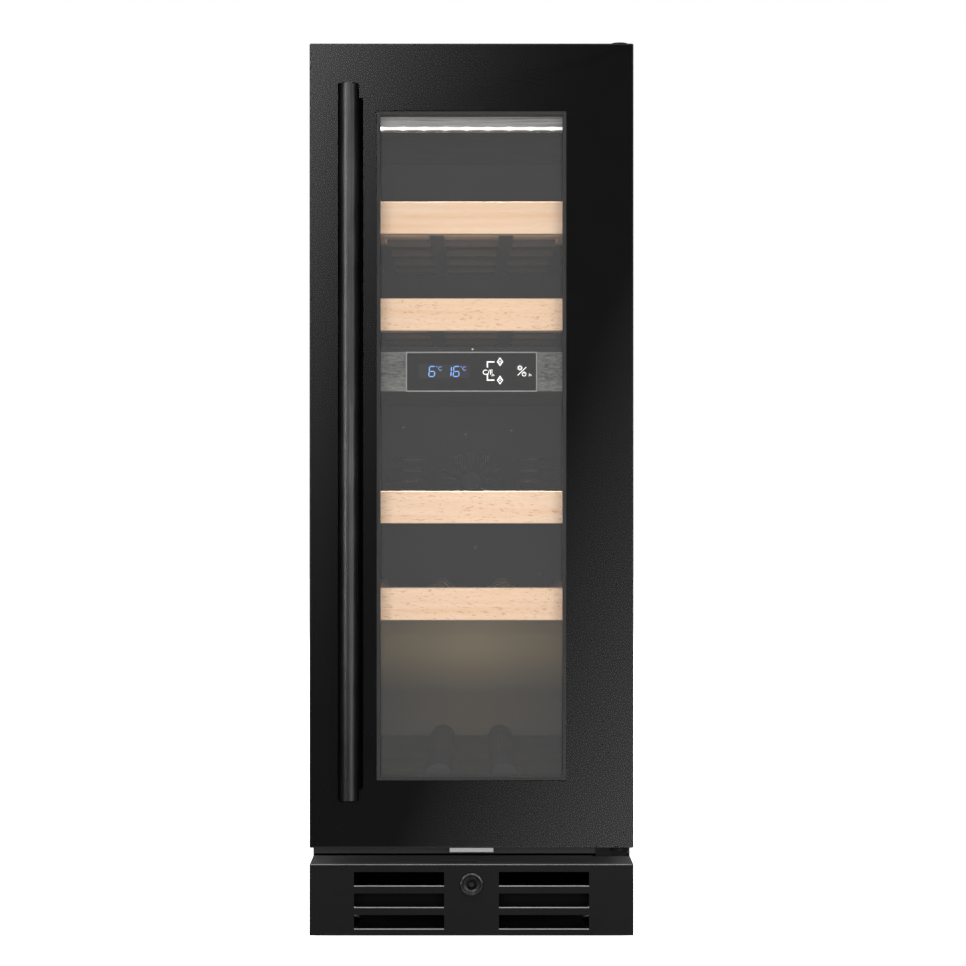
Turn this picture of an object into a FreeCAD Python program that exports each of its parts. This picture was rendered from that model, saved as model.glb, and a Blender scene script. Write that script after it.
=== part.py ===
import FreeCAD, Part
import math
import os
import re

import Sketcher
from FreeCAD import Placement, Rotation, Vector

# Built-in dual-zone wine cooler, 300 mm wide class. Millimetres, +Z up, the front faces -Y.
# The origin is under the middle of the whole object, on the floor that its feet stand on.
#
# The cabinet is a steel wrap, foam and a black liner. A divider splits the cavity in two zones.
# A frameless black glass door hangs on two pins on the right and carries a bar handle on the left.
# Four beech shelves run on telescopic slides. The sealed cooling system sits low at the back.

DRIVING = {
    "width": (295, "door, case and plinth"),
    "height": (820, "floor to the top hinge plate"),
    "body_depth": (570, "glass face to the back of the rear spacers"),
    "handle_reach": (36, "glass face to the axis of the handle bar"),
    "handle_dia": (19, "handle bar"),
    "handle_long": (640, "handle bar"),
    "handle_low": (134, "floor to the handle bar's lower end"),
    "handle_side": (37.6, "door's free edge to the axis of the bar"),
    "post_inset": (60, "bar's end to the axis of a handle post"),
    "door_height": (732.5, "outer glass"),
    "door_thick": (38, "glass face to the back of the door frame"),
    "glass_thick": (4, "each pane"),
    "pane_gap": (12, "between the panes"),
    "mask_thick": (0.4, "black border behind the outer pane"),
    "window_margin": (61, "glass edge to the clear window"),
    "seal_gap": (8, "door frame to the case, filled by the gasket"),
    "spacer_depth": (10, "rear spacers, behind the rear panel"),
    "hinge_plate": (2, "thickness of the top hinge plate"),
    "hinge_gap": (0.3, "glass top to the hinge plate"),
    "pin_side": (12, "hinge pin axis to the side of the door"),
    "pin_front": (14, "hinge pin axis to the glass face"),
    "pin_dia": (8, "hinge pins"),
    "base_level": (22, "floor to the lower edge of the case"),
    "steel": (1, "sheet of the case"),
    "rail_low": (72, "floor to the front bottom rail of the case"),
    "flange": (14, "steel flange round the front of the case"),
    "wall": (33, "outside of the case to the inside of the cavity"),
    "roof": (36, "top of the case to the ceiling of the cavity"),
    "back_wall": (40, "rear panel to the back of the cavity"),
    "floor_level": (138, "floor of the cavity"),
    "liner": (2, "liner sheet"),
    "step_depth": (130, "step over the compressor, front to back"),
    "step_rise": (140, "step over the compressor, height"),
    "step_wall": (36, "foam between the step and the machine room"),
    "housing_tall": (30.3, "steel housing of the upper light"),
    "cover_tall": (3.2, "clear cover under a row of LEDs"),
    "divider_low": (507, "underside of the zone divider"),
    "divider_high": (545, "top of the zone divider"),
    "front_recess": (14.25, "case front to the face of a shelf"),
    "plinth_low": (5.4, "floor to the lower edge of the plinth"),
    "plinth_high": (70.4, "floor to the upper edge of the plinth"),
    "plinth_sheet": (1.5, "plinth steel"),
    "slot_top": (63.2, "upper edge of the highest slot"),
    "slot_tall": (13.2, "height of a slot"),
    "slot_pitch": (19.6, "from slot to slot"),
    "slot_near": (25, "middle of the plinth to a slot's near end"),
    "slot_far": (107, "middle of the plinth to a slot's far end"),
    "lip": (6, "folded lip under each slot"),
    "lock_level": (52, "axis of the lock"),
    "lock_dia": (21.6, "escutcheon of the lock"),
    "cam_reach": (31, "lock axis to the tip of the cam"),
    "cam_thick": (3, "cam"),
    "board_tall": (30.5, "front board of a shelf"),
    "board_thick": (16, "front board of a shelf"),
    "shelf_half": (96.8, "half the width of a shelf"),
    "shelf_long": (387, "front board to the rear ends of the rails"),
    "rail_wide": (14, "side rail of a shelf"),
    "slat_tall": (22, "slat at its crests"),
    "slat_web": (8, "thinnest part of a slat, under a bottle"),
    "slat_deep": (28, "slat, front to back"),
    "bottle_pitch": (66, "between bottle axes on a shelf"),
    "cradle": (38, "radius of a bottle hollow"),
    "strap_wide": (14, "steel strap under the slats"),
    "strap_thick": (1.5, "steel strap under the slats"),
    "runner_thin": (1.2, "sheet of the telescopic runners"),
    "led_pitch": (20, "between LEDs"),
    "duct_front": (44, "back of the cavity to the face of the duct cover"),
    "duct_sheet": (3, "duct cover"),
    "foot_dia": (36, "pad of a levelling foot"),
    "stud_dia": (9.6, "stud of a levelling foot"),
    "foot_x": (122, "feet, either side of the middle"),
    "compressor_x": (-62, "compressor axis"),
    "compressor_r": (54, "compressor can"),
}

# Names worked out from the driving sizes. Each is a formula that the objects' expressions repeat.
DERIVED = {
    "half": "width / 2",
    "front": "(handle_reach + handle_dia / 2 - body_depth) / 2",
    "back": "front + body_depth",
    "pane_back": "front + glass_thick",
    "mask_back": "pane_back + mask_thick",
    "inner_pane": "mask_back + pane_gap",
    "inner_back": "inner_pane + glass_thick",
    "door_back": "front + door_thick",
    "case_front": "door_back + seal_gap",
    "case_back": "back - spacer_depth",
    "case_top": "height - hinge_plate",
    "door_top": "case_top - hinge_gap",
    "door_low": "door_top - door_height",
    "frame_top": "door_top - 1.2",
    "frame_low": "door_low + 1.2",
    "pin_x": "half - pin_side",
    "pin_y": "front + pin_front",
    "handle_x": "handle_side - half",
    "handle_y": "front - handle_reach",
    "post_low": "handle_low + post_inset",
    "post_high": "handle_low + handle_long - post_inset",
    "cav_half": "half - wall",
    "cav_top": "case_top - roof",
    "cav_back": "case_back - back_wall",
    "step_face": "cav_back - step_depth",
    "step_top": "floor_level + step_rise",
    "machine_top": "step_top - step_wall",
    "machine_front": "step_face + step_wall",
    "foam_low": "floor_level - 40",
    "shelf_face": "case_front + front_recess",
    "board_back": "shelf_face + board_thick",
    "shelf_end": "shelf_face + shelf_long",
    "duct": "cav_back - duct_front",
    "duct_back": "duct + duct_sheet",
    "compressor_y": "(machine_front + case_back) / 2",
    "pan_top": "base_level + 1.5",
    "cam_front": "front + 13.5",
}

# Height of each shelf's front board, top edge. Two shelves to each zone.
SHELF_TOPS = {1: "682", 2: "591", 3: "410", 4: "319"}

WORD = re.compile(r"[a-z][a-z_0-9]*")

doc = FreeCAD.newDocument("wine_cooler")
dims = doc.addObject("Spreadsheet::Sheet", "dims")
for row, (alias, (value, meaning)) in enumerate(DRIVING.items(), start=1):
    dims.set(f"A{row}", str(value))
    dims.setAlias(f"A{row}", alias)
    dims.set(f"B{row}", meaning)
doc.recompute()

nodes = []


def formula(text):
    """The text as an expression on the sheet's cells, with each derived name written out."""

    def swap(match):
        word = match.group(0)
        if word in DERIVED:
            return "(" + formula(DERIVED[word]) + ")"
        return "dims." + word if word in DRIVING else word

    return WORD.sub(swap, str(text))


def number(text):
    """The value of a formula, for shapes that are worked out in Python and for sketch start points."""
    return float(dims.evalExpression(formula(text)))


def bind(item, prop, text):
    item.setExpression(prop, formula(text))


def node(label, item):
    """Names an object as a sub-part of the cooler, which gets a file of its own."""
    item.Label = label
    nodes.append(item)
    return item


# --- Part primitives and booleans -------------------------------------------------------------


def box(x, y, z):
    """A block between two formulas on each axis."""
    item = doc.addObject("Part::Box", "block")
    for side, corner, (low, high) in zip(("Length", "Width", "Height"), "xyz", (x, y, z)):
        bind(item, side, f"({high}) - ({low})")
        bind(item, "Placement.Base." + corner, low)
    return item


def both_sides(text):
    """Low and high x of something centred on the middle of the cooler."""
    return f"-({text})", f"{text}"


def rod(axis, radius, centre, span):
    """A round bar along X, Y or Z. The centre is the other two coordinates, in X, Y, Z order."""
    item = doc.addObject("Part::Cylinder", "rod")
    turns = {"x": Rotation(Vector(0, 1, 0), 90), "y": Rotation(Vector(1, 0, 0), -90), "z": Rotation()}
    item.Placement = Placement(Vector(), turns[axis])
    others = [name for name in "xyz" if name != axis]
    bind(item, "Radius", radius)
    bind(item, "Height", f"({span[1]}) - ({span[0]})")
    bind(item, "Placement.Base." + axis, span[0])
    for name, text in zip(others, centre):
        bind(item, "Placement.Base." + name, text)
    return item


def cut(base, *tools):
    item = doc.addObject("Part::Cut", "cut")
    item.Base = base
    item.Tool = tools[0] if len(tools) == 1 else fuse(*tools)
    return item


def fuse(*parts):
    item = doc.addObject("Part::MultiFuse", "fuse")
    item.Shapes = list(parts)
    return item


def group(*parts):
    """Separate solids that share a node, such as the screws of one joint."""
    item = doc.addObject("Part::Compound", "group")
    item.Links = list(parts)
    return item


def mirrored(source):
    """The same piece on the other side of the middle plane."""
    item = doc.addObject("Part::Mirroring", "mirror")
    item.Source = source
    item.Normal = Vector(1, 0, 0)
    return item


def tube(axis, outer, inner, centre, span):
    return cut(rod(axis, outer, centre, span), rod(axis, inner, centre, span))


# --- PartDesign bodies ------------------------------------------------------------------------


def new_body():
    return doc.addObject("PartDesign::Body", "body")


def new_sketch(body, plane, offset=("0", "0", "0")):
    """A sketch on one of the body's own origin planes, moved by formulas in its own axes."""
    sketch = body.newObject("Sketcher::SketchObject", "sketch")
    support = [item for item in body.Origin.OriginFeatures if item.Role == plane + "_Plane"][0]
    sketch.AttachmentSupport = [(support, "")]
    sketch.MapMode = "FlatFace"
    for corner, text in zip("xyz", offset):
        bind(sketch, "AttachmentOffset.Base." + corner, text)
    return sketch


def pin_point(sketch, line, end, x, y):
    """Fixes a point of the sketch at two formulas."""
    for kind, text in (("DistanceX", x), ("DistanceY", y)):
        rule = Sketcher.Constraint(kind, -1, 1, line, end, number(text))
        index = sketch.addConstraint(rule)
        bind(sketch, f"Constraints[{index}]", text)


def outline(sketch, points):
    """A closed outline of straight lines through points given as pairs of formulas."""
    spots = [Vector(number(x), number(y), 0) for x, y in points]
    first = sketch.GeometryCount
    count = len(points)
    for i in range(count):
        sketch.addGeometry(Part.LineSegment(spots[i], spots[(i + 1) % count]), False)
    for i in range(count):
        following = first + (i + 1) % count
        sketch.addConstraint(Sketcher.Constraint("Coincident", first + i, 2, following, 1))
        pin_point(sketch, first + i, 1, *points[i])


def rectangle(sketch, x, y):
    outline(sketch, [(x[0], y[0]), (x[1], y[0]), (x[1], y[1]), (x[0], y[1])])


def circle(sketch, x, y, radius):
    shape = Part.Circle(Vector(number(x), number(y), 0), Vector(0, 0, 1), number(radius))
    index = sketch.addGeometry(shape, False)
    pin_point(sketch, index, 3, x, y)
    rule = sketch.addConstraint(Sketcher.Constraint("Radius", index, number(radius)))
    bind(sketch, f"Constraints[{rule}]", radius)


def pad(body, sketch, length):
    feature = body.newObject("PartDesign::Pad", "pad")
    feature.Profile = sketch
    bind(feature, "Length", length)
    return feature


def front_sketch(body, back_y):
    """A sketch seen from the front, X by Z. A pad on it grows towards the front from back_y."""
    return new_sketch(body, "XZ", ("0", "0", f"-({back_y})"))


def plan_sketch(body, low_z):
    """A sketch seen from above. A pad on it grows upwards from low_z."""
    return new_sketch(body, "XY", ("0", "0", low_z))


def revolved(points, plane, offset):
    """A body turned about its sketch's vertical axis, from (radius, height) formulas."""
    body = new_body()
    sketch = new_sketch(body, plane, offset)
    outline(sketch, points)
    turn = body.newObject("PartDesign::Revolution", "turn")
    turn.Profile = sketch
    turn.ReferenceAxis = (sketch, ["V_Axis"])
    turn.Angle = 360
    return body


def turned_upright(points, x, y):
    """A body of revolution about a vertical axis at x, y."""
    return revolved(points, "XZ", (x, "0", f"-({y})"))


def turned_lengthways(points, x, z):
    """A body of revolution about an axis along Y at x, z. Heights are positions along Y."""
    return revolved(points, "XY", (x, "0", z))


def dress(body, kind, size, wanted):
    """Fillets or chamfers the edges of the body's last feature that the wanted test picks."""
    doc.recompute()
    base = body.Tip
    names = [f"Edge{i}" for i, edge in enumerate(base.Shape.Edges, start=1) if wanted(edge)]
    feature = body.newObject("PartDesign::" + kind, kind.lower())
    feature.Base = (base, names)
    bind(feature, {"Fillet": "Radius", "Chamfer": "Size"}[kind], size)
    return feature


def at_y(level):
    """Picks the edges that lie wholly in the plane y = level."""
    here = number(level)
    return lambda edge: abs(edge.BoundBox.YMin - here) < 1e-6 and abs(edge.BoundBox.YMax - here) < 1e-6


def along(axis):
    """Picks the straight edges that run along an axis."""
    others = [name for name in "XYZ" if name != axis]
    return lambda edge: all(getattr(edge.BoundBox, name + "Length") < 1e-6 for name in others)


def ring(body, outer, inner, span):
    """A rectangular frame of the door, padded. Both insets are measured from the glass's edge."""
    sketch = front_sketch(body, span[1])
    for inset in (outer, inner):
        if inset is not None:
            rectangle(
                sketch,
                both_sides(f"half - ({inset})"),
                (f"door_low + {inset}", f"door_top - ({inset})"),
            )
    return pad(body, sketch, f"({span[1]}) - ({span[0]})")


# --- Cabinet ----------------------------------------------------------------------------------


def liner_space(grow):
    """The cavity over the compressor step, grown outwards by a formula."""
    room = box(
        both_sides(f"cav_half + {grow}"),
        ("case_front + steel" if grow != "0" else "case_front - 1", f"cav_back + {grow}"),
        (f"floor_level - {grow}", f"cav_top + {grow}"),
    )
    step = box(
        both_sides("half"),
        (f"step_face + {grow}", "case_back"),
        ("base_level", f"step_top - {grow}"),
    )
    return cut(room, step)


def build_case():
    wrap = cut(
        box(both_sides("half"), ("case_front", "case_back"), ("base_level", "case_top")),
        box(
            both_sides("half - steel"),
            ("case_front - 1", "case_back + 1"),
            ("base_level - 1", "case_top - steel"),
        ),
    )
    face = cut(
        box(both_sides("half"), ("case_front", "case_front + steel"), ("rail_low", "case_top")),
        box(
            both_sides("half - flange"),
            ("case_front - 1", "case_front + 2 * steel"),
            ("foam_low", "case_top - flange"),
        ),
    )
    rear = cut(
        box(both_sides("half"), ("case_back - steel", "case_back"), ("base_level", "case_top")),
        box(both_sides("half - 10"), ("case_back - 2 * steel", "case_back + 1"), ("0", "case_top - 10")),
    )
    keel = [
        box(both_sides("half - steel"), ("case_front", "machine_front"), ("foam_low - steel", "foam_low")),
        box(
            both_sides("half - steel"),
            ("machine_front", "machine_front + steel"),
            ("foam_low - steel", "machine_top"),
        ),
        box(
            both_sides("half - steel"),
            ("machine_front", "case_back - steel"),
            ("machine_top - steel", "machine_top"),
        ),
    ]
    node("outer_case", cut(fuse(wrap, face, rear, *keel), *rear_holes("1.65")))

    lining = cut(liner_space("liner"), liner_space("0"))
    brim = cut(
        box(
            both_sides("half - flange - 0.3"),
            ("case_front", "case_front + liner"),
            ("foam_low + 0.3", "case_top - flange - 0.3"),
        ),
        box(both_sides("cav_half"), ("case_front - 1", "case_front + 3"), ("floor_level", "cav_top")),
    )
    node("inner_liner", fuse(lining, brim))

    foam = cut(
        box(
            both_sides("half - steel - 0.2"),
            ("case_front + 3", "case_back - steel - 0.2"),
            ("foam_low", "case_top - steel - 0.2"),
        ),
        liner_space("liner"),
        box(both_sides("half"), ("machine_front", "back"), ("base_level", "machine_top")),
        *rear_holes("2.2"),
    )
    core = box(
        both_sides("cav_half - 3.2"),
        ("shelf_face + 24.2", "cav_back - 3.2"),
        ("divider_low + 2.2", "divider_high - 2.2"),
    )
    node("foam_insulation", group(foam, core))

    pan = cut(
        box(
            both_sides("half - steel - 0.2"),
            ("case_front + 3", "case_back - 1.2"),
            ("base_level", "pan_top"),
        ),
        *[rod("z", "stud_dia / 2 + 0.5", spot, ("0", "height")) for spot in foot_spots()],
    )
    lip = box(
        both_sides("half - steel - 0.2"),
        ("case_front + 3", "case_front + 4.5"),
        ("base_level", "base_level + 12"),
    )
    node("base_pan", fuse(pan, lip))

    skin = cut(
        box(both_sides("half - 0.3"), ("case_back", "case_back + 0.8"), ("machine_top", "case_top")),
        *rear_holes("1.7"),
    )
    beads = [
        box(
            (f"{x} - 5", f"{x} + 5"),
            ("case_back + 0.8", "case_back + 3"),
            ("machine_top + 60", "case_top - 60"),
        )
        for x in ("-80", "0", "80")
    ]
    node("rear_panel", fuse(skin, *beads))
    spacers = [
        box((f"{x} - 15", f"{x} + 15"), ("case_back + 0.8", "back"), ("case_top - 42", "case_top - 22"))
        for x in ("-110", "110")
    ]
    node("rear_spacers", group(*spacers))
    return [
        turned_lengthways(
            [
                ("0", "case_back - 6"),
                ("1.6", "case_back - 6"),
                ("1.6", "case_back + 0.8"),
                ("3.6", "case_back + 0.8"),
                ("2.6", "case_back + 2.6"),
                ("0", "case_back + 2.6"),
            ],
            *spot,
        )
        for spot in rear_screw_spots("upper") + rear_screw_spots("lower")
    ]


def rear_screw_spots(which):
    """X and Z of the screws in the rear panel or in the cover of the machine room."""
    levels = {
        "upper": ("machine_top + 8", "case_top - 150", "case_top - 330"),
        "lower": ("40", "machine_top - 12"),
    }
    return [(x, z) for z in levels[which] for x in ("-(half - 6)", "half - 6")]


def rear_holes(radius):
    spots = rear_screw_spots("upper") + rear_screw_spots("lower")
    return [rod("y", radius, spot, ("case_back - 8", "case_back + 2")) for spot in spots]


def foot_spots():
    return [(x, y) for y in ("case_front + 26", "case_back - 19") for x in ("-foot_x", "foot_x")]


def build_feet():
    names = ("front_left", "front_right", "rear_left", "rear_right")
    for name, (x, y) in zip(names, foot_spots()):
        profile = [
            ("0", "0"),
            ("foot_dia / 2 - 1.5", "0"),
            ("foot_dia / 2", "1.5"),
            ("foot_dia / 2", "5"),
            ("8.5", "8"),
            ("8.5", "16"),
            ("stud_dia / 2", "16"),
            ("stud_dia / 2", "67"),
            ("stud_dia / 2 - 1", "68"),
            ("0", "68"),
        ]
        node("foot_" + name, turned_upright(profile, x, y))
    nuts = []
    for x, y in foot_spots():
        nut = doc.addObject("Part::Prism", "nut")
        nut.Polygon = 6
        bind(nut, "Circumradius", "stud_dia")
        nut.Height = 8
        bind(nut, "Placement.Base.x", x)
        bind(nut, "Placement.Base.y", y)
        bind(nut, "Placement.Base.z", "pan_top")
        nuts.append(cut(nut, rod("z", "stud_dia / 2 + 0.2", (x, y), ("0", "height"))))
    return nuts


def build_divider():
    shell = cut(
        box(
            both_sides("cav_half - 0.3"),
            ("shelf_face - 2", "cav_back - 0.3"),
            ("divider_low", "divider_high"),
        ),
        box(
            both_sides("cav_half - 3"),
            ("shelf_face + 24", "cav_back - 3"),
            ("divider_low + 2", "divider_high - 2"),
        ),
        box(both_sides("60"), ("shelf_face - 3", "shelf_face + 21"), ("divider_low + 3", "divider_high - 4")),
    )
    node("zone_divider", shell)
    fascia = cut(
        box(
            both_sides("cav_half - 0.5"),
            ("shelf_face - 4", "shelf_face - 2"),
            ("divider_low - 3.5", "divider_high - 4.7"),
        ),
        box(both_sides("58"), ("shelf_face - 5", "shelf_face"), ("divider_low + 3.5", "divider_high - 6.4")),
    )
    node("divider_fascia", fascia)


def build_controls():
    """The touch panel in the divider's face: its housing, its glass and the board behind."""
    rim = cut(
        box(
            both_sides("61.5"),
            ("shelf_face - 7.5", "shelf_face - 4"),
            ("divider_low - 4.1", "divider_high - 4.7"),
        ),
        box(
            both_sides("60.4"),
            ("shelf_face - 8", "shelf_face - 5"),
            ("divider_low - 3", "divider_high - 5.8"),
        ),
    )
    tub = cut(
        box(
            both_sides("57.6"),
            ("shelf_face - 4", "shelf_face + 18"),
            ("divider_low + 3.8", "divider_high - 6.6"),
        ),
        box(
            both_sides("56"),
            ("shelf_face - 4", "shelf_face + 16"),
            ("divider_low + 5.2", "divider_high - 8"),
        ),
    )
    windows = [
        box((low, high), ("shelf_face - 6", "shelf_face"), ("divider_low + 9.7", "divider_high - 11.7"))
        for low, high in (("-48.3", "2.3"), ("12", "54"))
    ]
    node("control_housing", cut(fuse(rim, tub), *windows))
    board = box(
        both_sides("54"),
        ("shelf_face + 4", "shelf_face + 5.6"),
        ("divider_low + 6", "divider_high - 8.4"),
    )
    digits = box(
        ("-48", "2"),
        ("shelf_face - 4.6", "shelf_face + 4"),
        ("divider_low + 10", "divider_high - 12"),
    )
    node("control_board", fuse(board, digits))
    pane = new_body()
    sketch = front_sketch(pane, "shelf_face - 5")
    rectangle(sketch, both_sides("60.2"), ("divider_low - 2.8", "divider_high - 6"))
    pad(pane, sketch, "2.2")
    dress(pane, "Chamfer", "0.4", at_y("shelf_face - 7.2"))
    node("control_glass", pane)


def light_bar(span_y, top_z):
    """An LED board with its chips, and the clear cover under it."""
    low_y, high_y = span_y
    middle = f"(({low_y}) + ({high_y})) / 2"
    board = box(both_sides("cav_half - 7"), (f"{low_y} + 2.5", f"{high_y} - 2.5"), (f"{top_z} - 1.2", top_z))
    chips = [
        box(
            (f"{i} * led_pitch - 2.5", f"{i} * led_pitch + 2.5"),
            (f"{middle} - 1.5", f"{middle} + 1.5"),
            (f"{top_z} - 2", f"{top_z} - 1.2"),
        )
        for i in range(-5, 6)
    ]
    cover = cut(
        box(both_sides("cav_half - 1"), (low_y, high_y), (f"{top_z} - cover_tall", top_z)),
        box(
            both_sides("cav_half - 2"),
            (f"{low_y} + 1", f"{high_y} - 1"),
            (f"{top_z} - cover_tall + 0.6", f"{top_z} + 1"),
        ),
    )
    return fuse(board, *chips), cover


def build_lights():
    """A bar above each zone. The upper one hangs under a steel housing on the ceiling."""
    housing = cut(
        box(
            both_sides("cav_half - 0.4"),
            ("shelf_face - 2", "shelf_face + 30"),
            ("cav_top - housing_tall", "cav_top"),
        ),
        box(
            both_sides("cav_half - 2"),
            ("shelf_face - 0.5", "shelf_face + 28.5"),
            ("cav_top - housing_tall + 1.5", "cav_top + 1"),
        ),
    )
    node("light_housing", housing)
    upper = light_bar(("shelf_face - 2", "shelf_face + 6"), "cav_top - housing_tall")
    lower = light_bar(("shelf_face + 2", "shelf_face + 10"), "divider_low")
    node("led_boards", group(upper[0], lower[0]))
    node("light_covers", group(upper[1], lower[1]))


def axial_fan(name, x, z, face_y, size, depth):
    """A square fan. Its rotor is a node, and its frame with the motor and shaft is returned."""
    mid = (x, z)
    end = f"({face_y}) + {depth}"
    frame = cut(
        box(
            (f"({x}) - {size / 2}", f"({x}) + {size / 2}"),
            (face_y, end),
            (f"({z}) - {size / 2}", f"({z}) + {size / 2}"),
        ),
        rod("y", str(0.46 * size), mid, (f"({face_y}) - 1", f"{end} + 1")),
    )
    motor = rod("y", str(0.17 * size), mid, (f"{end} - {0.35 * depth}", end))
    shaft = rod("y", "1.5", mid, (f"({face_y}) + {0.2 * depth}", f"{end} - 1"))
    struts = [
        box(
            (f"({x}) - {0.49 * size}", f"({x}) + {0.49 * size}"),
            (f"{end} - {0.15 * depth}", end),
            (f"({z}) - 1.5", f"({z}) + 1.5"),
        ),
        box(
            (f"({x}) - 1.5", f"({x}) + 1.5"),
            (f"{end} - {0.15 * depth}", end),
            (f"({z}) - {0.49 * size}", f"({z}) + {0.49 * size}"),
        ),
    ]
    centre = Vector(number(x), number(face_y) + 0.33 * depth, number(z))
    reach = 0.44 * size
    blades = []
    count = 7
    for i in range(count):
        blade = Part.makeBox(0.16 * size, 1.4, reach - 0.12 * size)
        blade.translate(Vector(-0.08 * size, -0.7, 0.12 * size))
        blade.rotate(Vector(), Vector(0, 0, 1), 32)
        blade.rotate(Vector(), Vector(0, 1, 0), 360 * i / count)
        blades.append(blade)
    hub = Part.makeCylinder(0.17 * size, 0.5 * depth, Vector(0, -0.25 * depth, 0), Vector(0, 1, 0))
    spun = hub.fuse(blades).common(
        Part.makeCylinder(reach, 0.5 * depth, Vector(0, -0.25 * depth, 0), Vector(0, 1, 0))
    )
    bore = Part.makeCylinder(1.56, depth, Vector(0, -0.14 * depth, 0), Vector(0, 1, 0))
    rotor = doc.addObject("Part::Feature", "rotor")
    rotor.Shape = spun.cut(bore)
    rotor.Placement = Placement(centre, Rotation())
    node(f"{name}_blades", rotor)
    return fuse(frame, motor, shaft, *struts)


def duct_cover(low, high, fan_z):
    """A cover over an evaporator, with a round grille for the fan and air slots above and below it."""
    body = new_body()
    sketch = front_sketch(body, "duct_back")
    rectangle(sketch, both_sides("cav_half - 1.5"), (low, high))
    circle(sketch, "0", fan_z, "10")
    pad(body, sketch, "duct_sheet")
    doc.recompute()
    slot = new_sketch(body, "XZ", ("0", "0", "-(duct_back)"))
    outline(
        slot,
        [
            ("-2", f"({fan_z}) + 14"),
            ("2", f"({fan_z}) + 14"),
            ("6", f"({fan_z}) + 34"),
            ("-6", f"({fan_z}) + 34"),
        ],
    )
    pocket = body.newObject("PartDesign::Pocket", "pocket")
    pocket.Profile = slot
    pocket.Type = 1
    pocket.Reversed = True
    centre = new_sketch(body, "XZ", ("0", fan_z, "0"))
    circle(centre, "0", "0", "1")
    pattern = body.newObject("PartDesign::PolarPattern", "pattern")
    pattern.Originals = [pocket]
    pattern.Axis = (centre, ["N_Axis"])
    pattern.Angle = 360
    pattern.Occurrences = 12
    body.Tip = pattern
    slots = [
        box((f"{x} - 22", f"{x} + 22"), ("duct - 1", "duct_back + 1"), (f"{z} - 2", f"{z} + 2"))
        for x in ("-75", "75")
        for z in (f"({fan_z}) - 24", f"({fan_z}) - 12", f"({fan_z})", f"({fan_z}) + 12", f"({fan_z}) + 24")
    ]
    return cut(body, *slots)


def build_air():
    """Each zone has an evaporator behind a cover, with a fan that blows through the cover's grille."""
    zones = {
        "upper": ("divider_high + 3", "cav_top - 3", "700"),
        "lower": ("step_top + 3", "divider_low - 3", "420"),
    }
    covers, frames, coolers = [], [], []
    for name, (low, high, fan_z) in zones.items():
        covers.append(duct_cover(low, high, fan_z))
        frames.append(axial_fan(f"fan_{name}", "0", fan_z, "duct_back", 80, 15))
        core = box(both_sides("76"), ("cav_back - 22", "cav_back - 2"), (f"{fan_z} - 65", f"{fan_z} + 65"))
        tanks = [
            rod("z", "4", (x, "cav_back - 12"), (f"{fan_z} - 60", f"{fan_z} + 60"))
            for x in ("-78", "78")
        ]
        coolers.append(fuse(core, *tanks))
    node("duct_covers", group(*covers))
    node("evaporators", group(*coolers))
    frames.append(axial_fan("condenser_fan", "90", "100", "machine_front + 44", 104, 24))
    node("fan_frames", group(*frames))


def build_cradle():
    """A moulded rest on the cavity floor. Two half-round ribs keep the lowest bottles apart."""
    plate = box(
        both_sides("cav_half - 3"),
        ("shelf_face + 4", "step_face - 4"),
        ("floor_level", "floor_level + 3"),
    )
    ribs = [
        cut(
            rod("y", "13", (x, "floor_level + 2"), ("shelf_face + 8", "step_face - 8")),
            box(both_sides("half"), ("case_front", "back"), ("floor_level - 40", "floor_level + 1")),
        )
        for x in ("-31", "31")
    ]
    node("bottle_rest", fuse(plate, *ribs))


# --- Shelves ----------------------------------------------------------------------------------


def channel(web, reach, span_y, z_mid, half_tall):
    """A C-section along Y on the right-hand side. Its lips run from the web to x = reach."""
    outward = number(reach) > number(web[0])
    lip_x = (web[0], reach) if outward else (reach, web[1])
    low, high = f"{z_mid} - {half_tall}", f"{z_mid} + {half_tall}"
    return fuse(
        box(web, span_y, (low, high)),
        box(lip_x, span_y, (f"{high} - runner_thin", high)),
        box(lip_x, span_y, (low, f"{low} + runner_thin")),
    )


def build_shelf(which, top):
    """A beech deck on the moving members of its slides. Returns the right-hand fixed member."""
    low = f"{top} - board_tall"
    board = new_body()
    sketch = front_sketch(board, "board_back")
    rectangle(sketch, both_sides("shelf_half"), (low, top))
    pad(board, sketch, "board_thick")
    dress(board, "Fillet", "1.2", along("X"))

    straps = []
    for x in ("-bottle_pitch / 2", "bottle_pitch / 2"):
        across = (f"{x} - strap_wide / 2", f"{x} + strap_wide / 2")
        flat = box(across, ("board_back", "shelf_end - 2"), (low, f"{low} + strap_thick"))
        tab = box(across, ("board_back", "board_back + strap_thick"), (low, f"{low} + 10"))
        straps.append(fuse(flat, tab))

    rails = [
        box((x, f"{x} + rail_wide"), ("board_back", "shelf_end"), (low, f"{low} + slat_tall"))
        for x in ("-shelf_half", "shelf_half - rail_wide")
    ]
    slats = [
        box(
            both_sides("shelf_half - rail_wide"),
            (f"board_back + {gap}", f"board_back + {gap} + slat_deep"),
            (low, f"{low} + slat_tall"),
        )
        for gap in (2, 90, 178, 266, 342)
    ]
    hollows = [
        rod(
            "y",
            "cradle",
            (f"{i} * bottle_pitch", f"{low} + slat_web + cradle"),
            ("board_back", "shelf_end + 1"),
        )
        for i in (-1, 0, 1)
    ]
    node(f"shelf_{which}_deck", group(board, cut(fuse(*rails, *slats), *hollows, *straps)))

    middle = f"{low} + slat_tall / 2"
    web = ("shelf_half", "shelf_half + runner_thin")
    slide = channel(web, "shelf_half + 9", ("shelf_face + 45", "shelf_end - 7"), middle, "10.5")
    node(f"shelf_{which}_slides", group(slide, mirrored(slide), *straps))

    web = ("cav_half - runner_thin", "cav_half")
    return channel(web, "cav_half - 9.5", ("shelf_face + 6", "shelf_end - 5"), middle, "13.5")


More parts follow.
